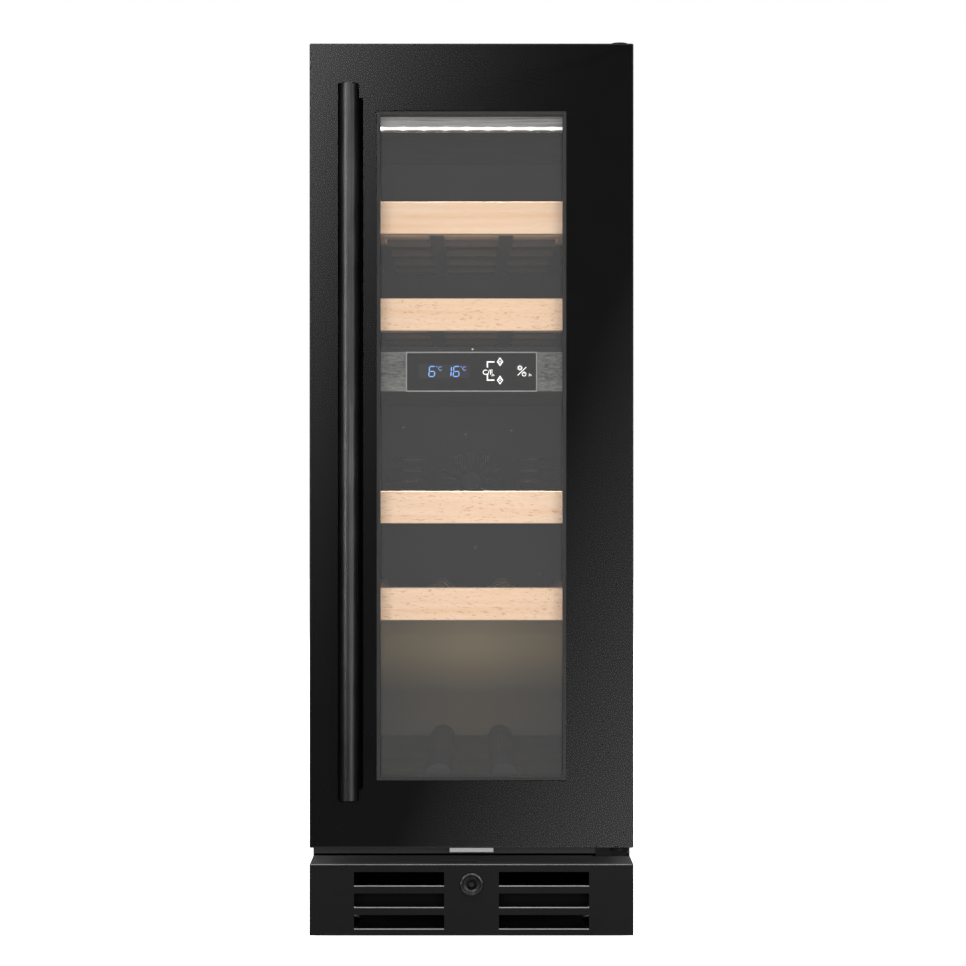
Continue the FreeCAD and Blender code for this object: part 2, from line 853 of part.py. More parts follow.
def build_shelves():
    fixed = [build_shelf(which, top) for which, top in SHELF_TOPS.items()]
    node("fixed_runners", group(*fixed, *[mirrored(item) for item in fixed]))


# --- Door -------------------------------------------------------------------------------------


def build_door():
    posts = [("handle_x", "post_low"), ("handle_x", "post_high")]

    pane = new_body()
    sketch = front_sketch(pane, "pane_back")
    rectangle(sketch, both_sides("half"), ("door_low", "door_top"))
    for x, z in posts:
        circle(sketch, x, z, "3.5")
    pad(pane, sketch, "glass_thick")
    dress(pane, "Fillet", "1.5", along("Y"))
    dress(pane, "Chamfer", "0.5", at_y("front"))
    node("outer_glass", pane)

    mask = new_body()
    sketch = front_sketch(mask, "mask_back")
    for inset in ("0.6", "window_margin"):
        rectangle(sketch, both_sides(f"half - {inset}"), (f"door_low + {inset}", f"door_top - {inset}"))
    for x, z in posts:
        circle(sketch, x, z, "3.5")
    pad(mask, sketch, "mask_thick")
    node("glass_border", mask)

    spacer = new_body()
    ring(spacer, "window_margin - 5", "window_margin + 3", ("mask_back", "inner_pane"))
    node("pane_spacer", spacer)

    inner = new_body()
    ring(inner, "window_margin - 10", None, ("inner_pane", "inner_back"))
    dress(inner, "Chamfer", "0.4", at_y("inner_back"))
    node("inner_glass", inner)

    frame = new_body()
    ring(frame, "1.2", "window_margin - 10.5", ("mask_back", "door_back"))
    dress(frame, "Fillet", "1", at_y("door_back"))
    holes = [
        rod("z", "6.02", ("pin_x", "pin_y"), span)
        for span in (("frame_low - 1", "frame_low + 18"), ("frame_top - 18", "frame_top + 1"))
    ]
    holes += [rod("y", "2.6", spot, ("front", "door_back + 1")) for spot in posts]
    holes += [rod("y", "5", spot, ("door_back - 4", "door_back + 1")) for spot in posts]
    node("door_frame", cut(frame, *holes))

    trim = new_body()
    ring(trim, "window_margin - 10.2", "window_margin + 1.5", ("inner_back", "inner_back + 3.5"))
    ring(trim, "window_margin - 10.2", "window_margin - 6.5", ("inner_back + 3", "door_back - 0.6"))
    node("inner_trim", trim)

    seal = new_body()
    ring(seal, "16.5", "28.5", ("door_back", "door_back + 1.5"))
    ring(seal, "19.5", "25.5", ("door_back + 1.2", "door_back + 4.5"))
    ring(seal, "17.5", "27.5", ("door_back + 4.2", "case_front - 0.1"))
    node("door_gasket", seal)

    pin = ("pin_x", "pin_y")
    bore = "pin_dia / 2 + 0.05"
    upper = tube("z", "6", bore, pin, ("frame_top - 16", "frame_top"))
    lower = cut(
        fuse(
            rod("z", "6", pin, ("frame_low", "frame_low + 16")),
            rod("z", "7.5", pin, ("door_low - 1.5", "frame_low")),
        ),
        rod("z", bore, pin, ("0", "height")),
    )
    node("hinge_bushes", group(upper, lower))

    lip_low = "door_low - 4.6"
    across = ("-20", "20")
    strike = fuse(
        box(across, ("mask_back + 0.4", "mask_back + 16"), ("frame_low - 1", "frame_low")),
        box(across, ("mask_back + 0.4", "mask_back + 1.6"), (lip_low, "frame_low")),
        box(across, ("mask_back + 14.8", "mask_back + 16"), (lip_low, "frame_low")),
    )
    node("lock_strike", strike)

    bar = new_body()
    sketch = plan_sketch(bar, "handle_low")
    circle(sketch, "handle_x", "handle_y", "handle_dia / 2")
    pad(bar, sketch, "handle_long")
    dress(bar, "Fillet", "0.8", lambda edge: edge.BoundBox.ZLength < 1e-6)
    node("handle_bar", bar)
    stems = [
        cut(
            rod("y", "5.5", spot, ("handle_y", "front")),
            rod("z", "handle_dia / 2 + 0.02", ("handle_x", "handle_y"), ("0", "height")),
            rod("y", "2.55", spot, ("front - 14", "front + 1")),
        )
        for spot in posts
    ]
    screws = [
        turned_lengthways(
            [
                ("0", "front - 13"),
                ("2.5", "front - 13"),
                ("2.5", "door_back - 4"),
                ("4.6", "door_back - 4"),
                ("4.6", "door_back - 0.8"),
                ("1.6", "door_back - 0.8"),
                ("1.6", "door_back - 2.6"),
                ("0", "door_back - 2.6"),
            ],
            *spot,
        )
        for spot in posts
    ]
    node("handle_posts", group(*stems, *screws))


def build_hinges():
    """A plate with a riveted pin above and below the door. Returns the upper plate's screws."""
    pin = ("pin_x", "pin_y")
    bore = "pin_dia / 2 + 0.02"
    x_span = ("pin_x - 8", "pin_x + 8")
    above = ("case_top", "height")
    spots = [
        ("half - 50", "case_front + 34"),
        ("half - 50", "case_front + 58"),
        ("half - 24", "case_front + 58"),
    ]
    arm = cut(
        fuse(
            rod("z", "8", pin, above),
            box(x_span, ("pin_y", "case_front + 70"), above),
            box(("half - 60", "half - 3"), ("case_front + 22", "case_front + 70"), above),
        ),
        rod("z", bore, pin, ("0", "height + 1")),
        *[rod("z", "4.1", spot, ("height - 1.5", "height + 1")) for spot in spots],
    )
    stud = rod("z", "pin_dia / 2", pin, ("frame_top - 15", "height"))
    node("hinge_upper", group(arm, stud))

    level = ("door_low - 4.7", "door_low - 1.7")
    bracket = cut(
        fuse(
            rod("z", "8", pin, level),
            box(x_span, ("pin_y", "case_front"), level),
            box(("half - 32", "half - 2.5"), ("case_front - 3", "case_front"), ("base_level + 16", level[1])),
        ),
        rod("z", bore, pin, ("0", "height")),
    )
    stud = rod("z", "pin_dia / 2", pin, (level[0], "frame_low + 15"))
    node("hinge_lower", group(bracket, stud))
    return [
        turned_upright(
            [("0", "height - 1.5"), ("2", "height - 1.5"), ("4", "height"), ("0", "height")],
            *spot,
        )
        for spot in spots
    ]


# --- Plinth and lock --------------------------------------------------------------------------


def build_plinth():
    face = new_body()
    sketch = front_sketch(face, "front + plinth_sheet")
    rectangle(sketch, both_sides("half"), ("plinth_low", "plinth_high"))
    circle(sketch, "0", "lock_level", "9.1")
    slots = [
        (x, (f"slot_top - {i} * slot_pitch - slot_tall", f"slot_top - {i} * slot_pitch"))
        for i in range(3)
        for x in (("-slot_far", "-slot_near"), ("slot_near", "slot_far"))
    ]
    for x, z in slots:
        rectangle(sketch, x, z)
    pad(face, sketch, "plinth_sheet")
    inside = "front + plinth_sheet"
    rim = "case_front - 0.5"
    cover = cut(
        box(both_sides("half"), (inside, rim), ("plinth_high - plinth_sheet", "plinth_high")),
        box(("-28", "6"), ("front + 12", "front + 18"), ("plinth_high - 5", "plinth_high + 1")),
        box(
            ("half - 34", "half + 1"),
            ("case_front - 4", rim + " + 1"),
            ("plinth_high - 5", "plinth_high + 1"),
        ),
    )
    sides = [
        box(x, (inside, rim), ("plinth_low", "plinth_high"))
        for x in (("-half", "plinth_sheet - half"), ("half - plinth_sheet", "half"))
    ]
    foot = box(both_sides("half"), (inside, f"{inside} + 14"), ("plinth_low", "plinth_low + plinth_sheet"))
    lips = [box(x, (inside, f"{inside} + lip"), (f"{z[0]} - 1.2", z[0])) for x, z in slots]
    hook = fuse(
        box(
            ("half - 20", "half - plinth_sheet"),
            ("case_front - 2", "case_front"),
            ("base_level + 2", "base_level + 15"),
        ),
        box(
            ("half - plinth_sheet - 2", "half - plinth_sheet"),
            ("case_front - 26", "case_front"),
            ("base_level + 2", "base_level + 15"),
        ),
    )
    node("plinth_grille", fuse(face, cover, *sides, foot, *lips, hook, mirrored(hook)))


def build_lock():
    """A round-key lock. Its cam lies to the left and turns up behind the strike under the door."""
    axis = ("0", "lock_level")
    inside = "front + plinth_sheet"
    barrel_end = "cam_front + cam_thick"
    shell = [
        ("5.6", "cam_front - 0.4"),
        ("5.6", "front - 1.2"),
        ("7.2", "front - 1.2"),
        ("8.4", "front - 2.8"),
        ("lock_dia / 2 - 0.7", "front - 2.8"),
        ("lock_dia / 2", "front - 2"),
        ("lock_dia / 2", "front"),
        ("9", "front"),
        ("9", "cam_front - 0.4"),
    ]
    nut = tube("y", "12", "9", axis, (inside, f"{inside} + 4"))
    node("lock_housing", group(turned_lengthways(shell, *axis), nut))
    barrel = cut(
        rod("y", "5.5", axis, ("front - 0.9", f"{barrel_end} + 0.2")),
        tube("y", "3.6", "2.2", axis, ("front - 2", "front + 4")),
    )
    node("lock_barrel", barrel)
    cam = cut(
        fuse(
            rod("y", "8", axis, ("cam_front", barrel_end)),
            box(("-cam_reach", "0"), ("cam_front", barrel_end), ("lock_level - 4.5", "lock_level + 4.5")),
        ),
        rod("y", "5.52", axis, ("front", "case_front")),
    )
    screw = rod("y", "7", axis, (f"{barrel_end} + 0.2", f"{barrel_end} + 3"))
    node("lock_cam", group(cam, screw))


# --- Machine room -----------------------------------------------------------------------------


def build_machine():
    cx, cy, radius = "compressor_x", "compressor_y", "compressor_r"
    base = "pan_top + 12.5"
    body = turned_upright(
        [
            ("0", base),
            (f"{radius} - 14", base),
            (f"{radius} - 2", f"{base} + 12"),
            (f"{radius} - 2", f"{base} + 68"),
            (radius, f"{base} + 70"),
            (radius, f"{base} + 78"),
            (f"{radius} - 2", f"{base} + 80"),
            (f"{radius} - 2", f"{base} + 112"),
            ("0", f"{base} + 126"),
        ],
        cx,
        cy,
    )
    dress(
        body,
        "Fillet",
        "9",
        lambda edge: abs(edge.BoundBox.ZMin - number(f"{base} + 112")) < 0.1 and edge.BoundBox.ZLength < 1e-3,
    )
    corners = [(f"{cx} + {dx}", f"{cy} + {dy}") for dx in (-48, 48) for dy in (-30, 30)]
    plate = cut(
        box((f"{cx} - 57", f"{cx} + 57"), (f"{cy} - 39", f"{cy} + 39"), (f"{base} - 2.5", base)),
        *[rod("z", "5", spot, ("0", "height")) for spot in corners],
    )
    terminals = box(
        (f"{cx} + {radius} - 4", f"{cx} + {radius} + 15"),
        (f"{cy} - 20", f"{cy} + 20"),
        (f"{base} + 16", f"{base} + 66"),
    )
    node("compressor", fuse(body, plate, terminals))
    node(
        "compressor_mounts",
        group(*[tube("z", "9", "4", spot, ("pan_top", f"{base} - 2.5")) for spot in corners]),
    )

    fins = box(("46", "134"), ("machine_front + 8", "machine_front + 38"), ("38", "160"))
    node("condenser", fuse(fins, condenser_tube()))

    tray = cut(
        box(("-128", "4"), (f"{cy} - 50", f"{cy} + 50"), ("machine_top - 52", "machine_top - 36")),
        box(("-126", "2"), (f"{cy} - 48", f"{cy} + 48"), ("machine_top - 50", "machine_top")),
    )
    node("drip_tray", tray)
    node(
        "power_board_box",
        box(("24", "134"), (f"{cy} - 52", f"{cy} + 14"), ("machine_top - 42", "machine_top - steel")),
    )
    drier = turned_upright(
        [("0", "92"), ("3", "92"), ("8", "98"), ("8", "150"), ("3", "156"), ("0", "156")],
        "18",
        "case_back - 22",
    )
    node("refrigerant_pipes", group(refrigerant_pipes(), drier))

    cover = new_body()
    sketch = front_sketch(cover, "case_back + 0.8")
    rectangle(sketch, both_sides("half - 0.3"), ("base_level + 4", "machine_top - 0.4"))
    rectangle(sketch, ("92", "120"), ("machine_top - 37", "machine_top - 15"))
    for x, z in rear_screw_spots("lower"):
        circle(sketch, x, z, "1.7")
    pad(cover, sketch, "0.8")
    doc.recompute()
    louvre = front_sketch(cover, "case_back + 0.8")
    for x in (("-120", "-18"), ("18", "120")):
        rectangle(louvre, x, ("48", "53"))
    pocket = cover.newObject("PartDesign::Pocket", "pocket")
    pocket.Profile = louvre
    pocket.Type = 1
    pocket.Reversed = True
    pattern = cover.newObject("PartDesign::LinearPattern", "pattern")
    pattern.Originals = [pocket]
    pattern.Direction = (louvre, ["V_Axis"])
    pattern.Length = 132
    pattern.Occurrences = 12
    cover.Tip = pattern
    node("machine_cover", cover)

    mid_z = "machine_top - 26"
    socket = cut(
        fuse(
            box(
                ("92.2", "119.8"),
                ("case_back - 12", "case_back + 1"),
                (f"{mid_z} - 10.8", f"{mid_z} + 10.8"),
            ),
            box(("86", "126"), ("case_back + 0.8", "case_back + 3.8"), (f"{mid_z} - 13", f"{mid_z} + 13")),
        ),
        box(("94.5", "117.5"), ("case_back - 9", "case_back + 5"), (f"{mid_z} - 8", f"{mid_z} + 8")),
    )
    pins = [
        box(
            (f"{x} - 1", f"{x} + 1"),
            ("case_back - 9", "case_back - 0.5"),
            (f"{mid_z} + {dz} - 2.5", f"{mid_z} + {dz} + 2.5"),
        )
        for x, dz in (("99", -2), ("106", 2), ("113", -2))
    ]
    node("power_inlet", fuse(socket, *pins))


def swept_tube(points, bend, radius):
    """A round tube along straight runs joined by arcs of one bend radius."""
    edges = []
    start = points[0]
    for before, corner, after in zip(points, points[1:], points[2:]):
        into = (corner - before).normalize()
        out = (after - corner).normalize()
        half_turn = into.getAngle(out) / 2
        setback = bend * math.tan(half_turn)
        entry = corner - into * setback
        leave = corner + out * setback
        towards = (out - into).normalize()
        middle = corner + towards * (bend / math.cos(half_turn) - bend)
        edges.append(Part.LineSegment(start, entry).toShape())
        edges.append(Part.Arc(entry, middle, leave).toShape())
        start = leave
    edges.append(Part.LineSegment(start, points[-1]).toShape())
    path = Part.Wire(edges)
    heading = points[1] - points[0]
    disc = Part.Wire(Part.Circle(points[0], heading, radius).toShape())
    return path.makePipeShell([disc], True, False)


def condenser_tube():
    """The serpentine through the condenser's fins."""
    y = number("machine_front + 23")
    left, right, pitch, rows = 38.0, 142.0, 24.0, 5
    points = [Vector(left - 8, y, 51)]
    for i in range(rows):
        z = 51 + pitch * i
        ends = (left, right) if i % 2 == 0 else (right, left)
        if i:
            points.append(Vector(ends[0], y, z))
        points.append(Vector(ends[1] if i < rows - 1 else ends[1] - 6, y, z))
    item = doc.addObject("Part::Feature", "serpentine")
    item.Shape = swept_tube(points, 9.0, 3.0)
    return item


def refrigerant_pipes():
    """Suction and discharge pipes between the compressor, the condenser and the cabinet."""
    x, y = number("compressor_x"), number("compressor_y")
    top = number("machine_top - steel")
    rim = number("compressor_x + compressor_r - 2")
    suction = [
        Vector(x - 30, y + math.sqrt(number("compressor_r - 2") ** 2 - 27**2), 90),
        Vector(x - 30, number("case_back - 9"), 90),
        Vector(x - 30, number("case_back - 9"), 180),
        Vector(x - 74, number("case_back - 9"), 180),
        Vector(x - 74, number("case_back - 9"), top),
    ]
    y_run = y - 30
    start = x + math.sqrt(number("compressor_r - 2") ** 2 - 27.5**2)
    discharge = [
        Vector(start, y_run, 130),
        Vector(rim + 26, y_run, 130),
        Vector(rim + 26, number("machine_front + 23"), 130),
        Vector(rim + 26, number("machine_front + 23"), 51),
        Vector(30, number("machine_front + 23"), 51),
    ]
    tubes = [
        swept_tube(suction, 8.0, 3.0),
        swept_tube(discharge[:4] + [Vector(29.8, discharge[4].y, 51)], 5.0, 2.5),
    ]
    item = doc.addObject("Part::Feature", "pipes")
    item.Shape = Part.makeCompound(tubes)
    return item


# --- The whole cooler -------------------------------------------------------------------------


def save():
    doc.recompute()
    for item in doc.Objects:
        if {"Invalid", "Error"} & set(item.State):
            raise RuntimeError(f"{item.Label} ({item.Name}) failed: {item.State}")
    os.makedirs("parts", exist_ok=True)
    for old in os.listdir("parts"):
        os.remove(os.path.join("parts", old))
    for item in nodes:
        shape = item.Shape
        if shape.isNull() or not shape.isValid() or not shape.Solids:
            raise RuntimeError(f"{item.Label} has no valid solid")
        shape.exportStep(f"parts/{item.Label}.step")
    print(len(nodes), "sub-parts")


rear_screws = build_case()
foot_nuts = build_feet()
build_divider()
build_controls()
build_lights()
build_air()
build_cradle()
build_shelves()
build_door()
hinge_screws = build_hinges()
build_plinth()
build_lock()
build_machine()
node("case_fasteners", group(*rear_screws, *foot_nuts, *hinge_screws))
save()
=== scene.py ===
"""The looks of a built-in two-zone wine cooler, round its CAD model: finishes, display and studio."""

import math

import bmesh
import bpy
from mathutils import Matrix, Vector


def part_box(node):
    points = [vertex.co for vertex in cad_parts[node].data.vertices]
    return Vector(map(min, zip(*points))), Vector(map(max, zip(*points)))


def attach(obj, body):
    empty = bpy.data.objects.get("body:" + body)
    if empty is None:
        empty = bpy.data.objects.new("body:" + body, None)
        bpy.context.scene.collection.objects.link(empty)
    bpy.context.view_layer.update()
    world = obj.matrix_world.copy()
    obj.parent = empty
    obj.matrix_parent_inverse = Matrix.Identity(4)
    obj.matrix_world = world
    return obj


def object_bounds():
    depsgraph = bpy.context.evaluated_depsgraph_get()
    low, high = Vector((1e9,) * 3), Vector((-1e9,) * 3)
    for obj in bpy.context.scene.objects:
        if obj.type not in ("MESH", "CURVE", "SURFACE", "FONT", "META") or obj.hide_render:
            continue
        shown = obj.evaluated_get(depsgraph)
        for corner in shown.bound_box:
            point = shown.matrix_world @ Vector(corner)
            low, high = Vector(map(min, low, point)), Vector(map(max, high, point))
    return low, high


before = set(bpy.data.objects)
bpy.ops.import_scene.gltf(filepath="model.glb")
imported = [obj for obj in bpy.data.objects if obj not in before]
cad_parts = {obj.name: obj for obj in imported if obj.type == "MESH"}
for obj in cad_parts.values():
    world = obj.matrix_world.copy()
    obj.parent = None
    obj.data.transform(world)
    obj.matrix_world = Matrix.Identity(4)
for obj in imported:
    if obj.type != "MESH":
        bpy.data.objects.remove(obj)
cad_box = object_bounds()

MM = 0.001

# The camera faces the door's middle from this far off, at this height above the floor.
EYE_DISTANCE = 1.9
EYE_HEIGHT = 0.4175
VIEW_WIDTH = 0.8795
SENSOR = 36.0
FRAME_SHIFT = 0.0119

# The LEDs stand this far apart, and the rows' middle lies this share of a pitch off the cooler's.
LED_PITCH = 20 * MM
LED_SHIFT = 0.22

SHELF_COUNT = 4


def screen(*levels):
    """The linear colour of screen levels from 0 to 255. One level gives a grey."""
    if len(levels) == 1:
        levels = levels * 3
    shares = [level / 255 for level in levels]
    return tuple(s / 12.92 if s <= 0.04045 else ((s + 0.055) / 1.055) ** 2.4 for s in shares)


def scaled(colour, factor):
    return tuple(min(1.0, channel * factor) for channel in colour)


# --- Materials ---


class Finish:
    """One material's node tree, with short methods for the nodes that the finishes share."""

    def __init__(self, name, colour=(0.5, 0.5, 0.5), roughness=0.5, metallic=0.0):
        self.material = bpy.data.materials.new(name)
        self.material.use_nodes = True
        self.tree = self.material.node_tree
        self.shader = self.tree.nodes["Principled BSDF"]
        self.output = self.tree.nodes["Material Output"]
        self.place = self.add("ShaderNodeTexCoord").outputs["Object"]
        self.colour = colour
        self.constant("Base Color", (*colour, 1))
        self.constant("Roughness", roughness)
        self.constant("Metallic", metallic)

    def add(self, kind, **settings):
        made = self.tree.nodes.new(kind)
        for key, value in settings.items():
            setattr(made, key, value)
        return made

    def feed(self, socket, value):
        """Links an output to a socket, or sets the socket to a number or a colour."""
        if isinstance(value, bpy.types.NodeSocket):
            self.tree.links.new(value, socket)
        else:
            socket.default_value = value

    def constant(self, name, value):
        self.shader.inputs[name].default_value = value

    def maths(self, operation, *values):
        made = self.add("ShaderNodeMath", operation=operation)
        for socket, value in zip(made.inputs, values):
            self.feed(socket, value)
        return made.outputs[0]

    def parts(self, vector):
        made = self.add("ShaderNodeSeparateXYZ")
        self.feed(made.inputs[0], vector)
        return made.outputs

    def axes(self):
        """The place along X, Y and Z, in metres."""
        return self.parts(self.place)

    def normal(self):
        """The surface's own direction along X, Y and Z."""
        return self.parts(self.add("ShaderNodeTexCoord").outputs["Normal"])

    def away(self, value, middle=0.0):
        """How far a value is from a middle, either way."""
        return self.maths("ABSOLUTE", self.maths("SUBTRACT", value, middle))

    def noise(self, size, stretch=(1, 1, 1), detail=2.0, roughness=0.5):
        """Noise with features about size across. They are longer along an axis whose stretch is under 1."""
        space = self.add("ShaderNodeVectorMath", operation="MULTIPLY")
        self.feed(space.inputs[0], self.place)
        space.inputs[1].default_value = stretch
        made = self.add("ShaderNodeTexNoise")
        self.feed(made.inputs["Vector"], space.outputs[0])
        made.inputs["Scale"].default_value = 1 / size
        made.inputs["Detail"].default_value = detail
        made.inputs["Roughness"].default_value = roughness
        return made.outputs[0]

    def span(self, value, low, high, start=0.3, end=0.7):
        """Maps start to end, which hold most of a noise's values, onto low to high."""
        made = self.add("ShaderNodeMapRange")
        for socket, number in zip(made.inputs, (value, start, end, low, high)):
            self.feed(socket, number)
        return made.outputs[0]

    def blend(self, factor, first, second):
        """A colour that goes from first to second as factor goes from 0 to 1."""
        made = self.add("ShaderNodeMix", data_type="RGBA")
        self.feed(made.inputs[0], factor)
        for socket, colour in zip(made.inputs[6:8], (first, second)):
            self.feed(socket, (*colour, 1) if isinstance(colour, tuple) else colour)
        return made.outputs[2]

    def tint(self, factor, spread):
        """Varies the base colour by a share of spread either way."""
        share = self.span(factor, 0, 1)
        mixed = self.blend(share, scaled(self.colour, 1 - spread), scaled(self.colour, 1 + spread))
        self.feed(self.shader.inputs["Base Color"], mixed)
        return mixed

    def gloss(self, factor, low, high):
        self.feed(self.shader.inputs["Roughness"], self.span(factor, low, high))

    def bump(self, height, depth):
        """Raises the surface by up to depth, in metres, where height is 1."""
        made = self.add("ShaderNodeBump")
        made.inputs["Strength"].default_value = 1
        made.inputs["Distance"].default_value = depth
        self.feed(made.inputs["Height"], height)
        self.feed(self.shader.inputs["Normal"], made.outputs[0])

    def shade(self, shader):
        """Makes a shader the one that the surface shows."""
        self.tree.links.new(shader, self.output.inputs["Surface"])

    def mix(self, factor, first, second):
        made = self.add("ShaderNodeMixShader")
        self.feed(made.inputs[0], factor)
        self.tree.links.new(first, made.inputs[1])
        self.tree.links.new(second, made.inputs[2])
        return made.outputs[0]


def painted_steel(name, colour, roughness=0.42, peel=0.006, specular=0.5, painted_light_top=None):
    """Baked satin paint: a fine orange peel under slow drifts in tone. Faces turned up can be painted paler,
    as painted light.
    """
    look = Finish(name, colour)
    look.constant("Specular IOR Level", specular)
    drift = look.noise(70 * MM, detail=3)
    grain = look.noise(1.1 * MM, detail=2, roughness=0.6)
    mottle = look.maths("MULTIPLY_ADD", grain, 0.6, look.maths("MULTIPLY", drift, 0.4))
    paint = look.tint(mottle, 0.16)
    if painted_light_top:
        # Painted light: faces turned up take the paler colour.
        up = look.maths("GREATER_THAN", look.normal()[2], 0.7)
        look.feed(look.shader.inputs["Base Color"], look.blend(up, paint, painted_light_top))
    look.gloss(mottle, roughness - 0.06, roughness + 0.08)
    look.bump(grain, peel * MM)
    return look.material


def brushed_steel(name, colour, stretch=(0.03, 1, 1), streak=0.9, spread=0.25, metallic=0.8, roughness=0.38):
    """Steel brushed along one axis: long streaks in tone, gloss and height."""
    look = Finish(name, colour, metallic=metallic)
    fine = look.noise(streak * MM, stretch, detail=4, roughness=0.7)
    broad = look.noise(streak * 9 * MM, stretch, detail=2)
    streaks = look.maths("MULTIPLY_ADD", fine, 0.65, look.maths("MULTIPLY", broad, 0.35))
    look.tint(streaks, spread)
    look.gloss(streaks, roughness - 0.08, roughness + 0.1)
    look.bump(fine, 0.006 * MM)
    return look.material


def anodised(name, colour):
    """Black anodised aluminium: drawn lengthways, with dark edges where it turns away."""
    edge, roughness = 0.15, 0.34
    look = Finish(name, colour, metallic=1)
    look.constant("Specular Tint", (edge, edge, edge, 1))
    drawn = look.noise(0.8 * MM, (1, 1, 0.02), detail=3)
    cloud = look.noise(40 * MM, detail=3)
    mottle = look.maths("MULTIPLY_ADD", drawn, 0.5, look.maths("MULTIPLY", cloud, 0.5))
    look.tint(mottle, 0.15)
    look.gloss(mottle, roughness - 0.04, roughness + 0.06)
    look.bump(drawn, 0.002 * MM)
    return look.material


def plated_steel(name, colour, roughness=0.3, flake=6):
    """Zinc plating: cloudy patches of brighter and duller crystals."""
    look = Finish(name, colour, metallic=1)
    cells = look.add("ShaderNodeTexVoronoi")
    look.feed(cells.inputs["Vector"], look.place)
    cells.inputs["Scale"].default_value = 1 / (flake * MM)
    shade_of_cell = look.add("ShaderNodeSeparateColor")
    look.feed(shade_of_cell.inputs[0], cells.outputs["Color"])
    clouds = look.noise(2 * flake * MM, detail=3)
    patches = look.maths("MULTIPLY_ADD", shade_of_cell.outputs[0], 0.35, look.maths("MULTIPLY", clouds, 0.65))
    look.tint(patches, 0.18)
    look.gloss(patches, roughness - 0.06, roughness + 0.12)
    look.bump(look.noise(0.8 * MM, detail=2), 0.004 * MM)
    return look.material


def moulded(name, colour, roughness=0.5, specular=0.4):
    """Injection-moulded plastic with a fine spark-eroded texture and a faint flow pattern."""
    texture, depth = 0.45 * MM, 0.012 * MM
    look = Finish(name, colour)
    look.constant("Specular IOR Level", specular)
    flow = look.noise(45 * MM, (1, 1, 0.5), detail=2)
    grain = look.noise(texture, detail=2, roughness=0.7)
    look.tint(flow, 0.1)
    both = look.maths("ADD", look.maths("MULTIPLY", flow, 0.5), look.maths("MULTIPLY", grain, 0.5))
    look.gloss(both, roughness - 0.05, roughness + 0.09)
    look.bump(grain, depth)
    return look.material


def rubber(name, colour):
    """Black rubber with a chalky bloom and fine mould marks."""
    look = Finish(name, colour)
    look.constant("Specular IOR Level", 0.3)
    bloom = look.noise(12 * MM, detail=4, roughness=0.65)
    look.tint(bloom, 0.3)
    look.gloss(bloom, 0.6, 0.82)
    look.bump(look.noise(0.35 * MM, detail=2), 0.015 * MM)
    return look.material


def copper(name):
    """Drawn copper tube: warm metal, browner and duller where it has tarnished."""
    look = Finish(name, (0.72, 0.34, 0.19), metallic=1)
    tarnish = look.noise(9 * MM, detail=5, roughness=0.65)
    mixed = look.blend(look.span(tarnish, 0, 1, 0.45, 0.7), look.colour, (0.33, 0.13, 0.07))
    look.feed(look.shader.inputs["Base Color"], mixed)
    look.gloss(tarnish, 0.22, 0.48)
    look.bump(look.noise(1.5 * MM, detail=2), 0.01 * MM)
    return look.material


def foam(name):
    """Poured insulation: pale yellow, with open cells and darker skin."""
    look = Finish(name, (0.78, 0.66, 0.38), roughness=0.9)
    cells = look.noise(1.6 * MM, detail=4, roughness=0.7)
    look.tint(cells, 0.2)
    look.bump(cells, 0.25 * MM)
    return look.material


def circuit_board(name, colour):
    """A lacquered board: fine tracks in a slightly lighter tone under a gloss coat."""
    look = Finish(name, colour, roughness=0.35)
    look.constant("Coat Weight", 0.4)
    tracks = look.add("ShaderNodeTexBrick", offset=0.37, squash=0.6)
    look.feed(tracks.inputs["Vector"], look.place)
    tracks.inputs["Scale"].default_value = 160
    tracks.inputs["Mortar Size"].default_value = 0.012
    lacquer = look.blend(tracks.outputs["Fac"], colour, scaled(colour, 1.7))
    look.feed(look.shader.inputs["Base Color"], lacquer)
    return look.material


def fins(name, colour):
    """A stack of thin aluminium fins, seen as fine bright lines with painted shade in the gaps between them.
    """
    pitch = 2 * MM
    look = Finish(name, colour, metallic=1, roughness=0.35)
    phase = look.maths("FRACT", look.maths("MULTIPLY", look.axes()[0], 1 / pitch))
    edge = look.away(phase, 0.5)
    # Painted shade: the colour darkens to a quarter in the gaps between the fins.
    lines = look.blend(look.span(edge, 0, 1, 0.15, 0.45), scaled(colour, 0.25), colour)
    look.feed(look.shader.inputs["Base Color"], lines)
    look.gloss(look.noise(4 * MM, detail=3), 0.25, 0.5)
    look.bump(edge, 0.3 * MM)
    return look.material


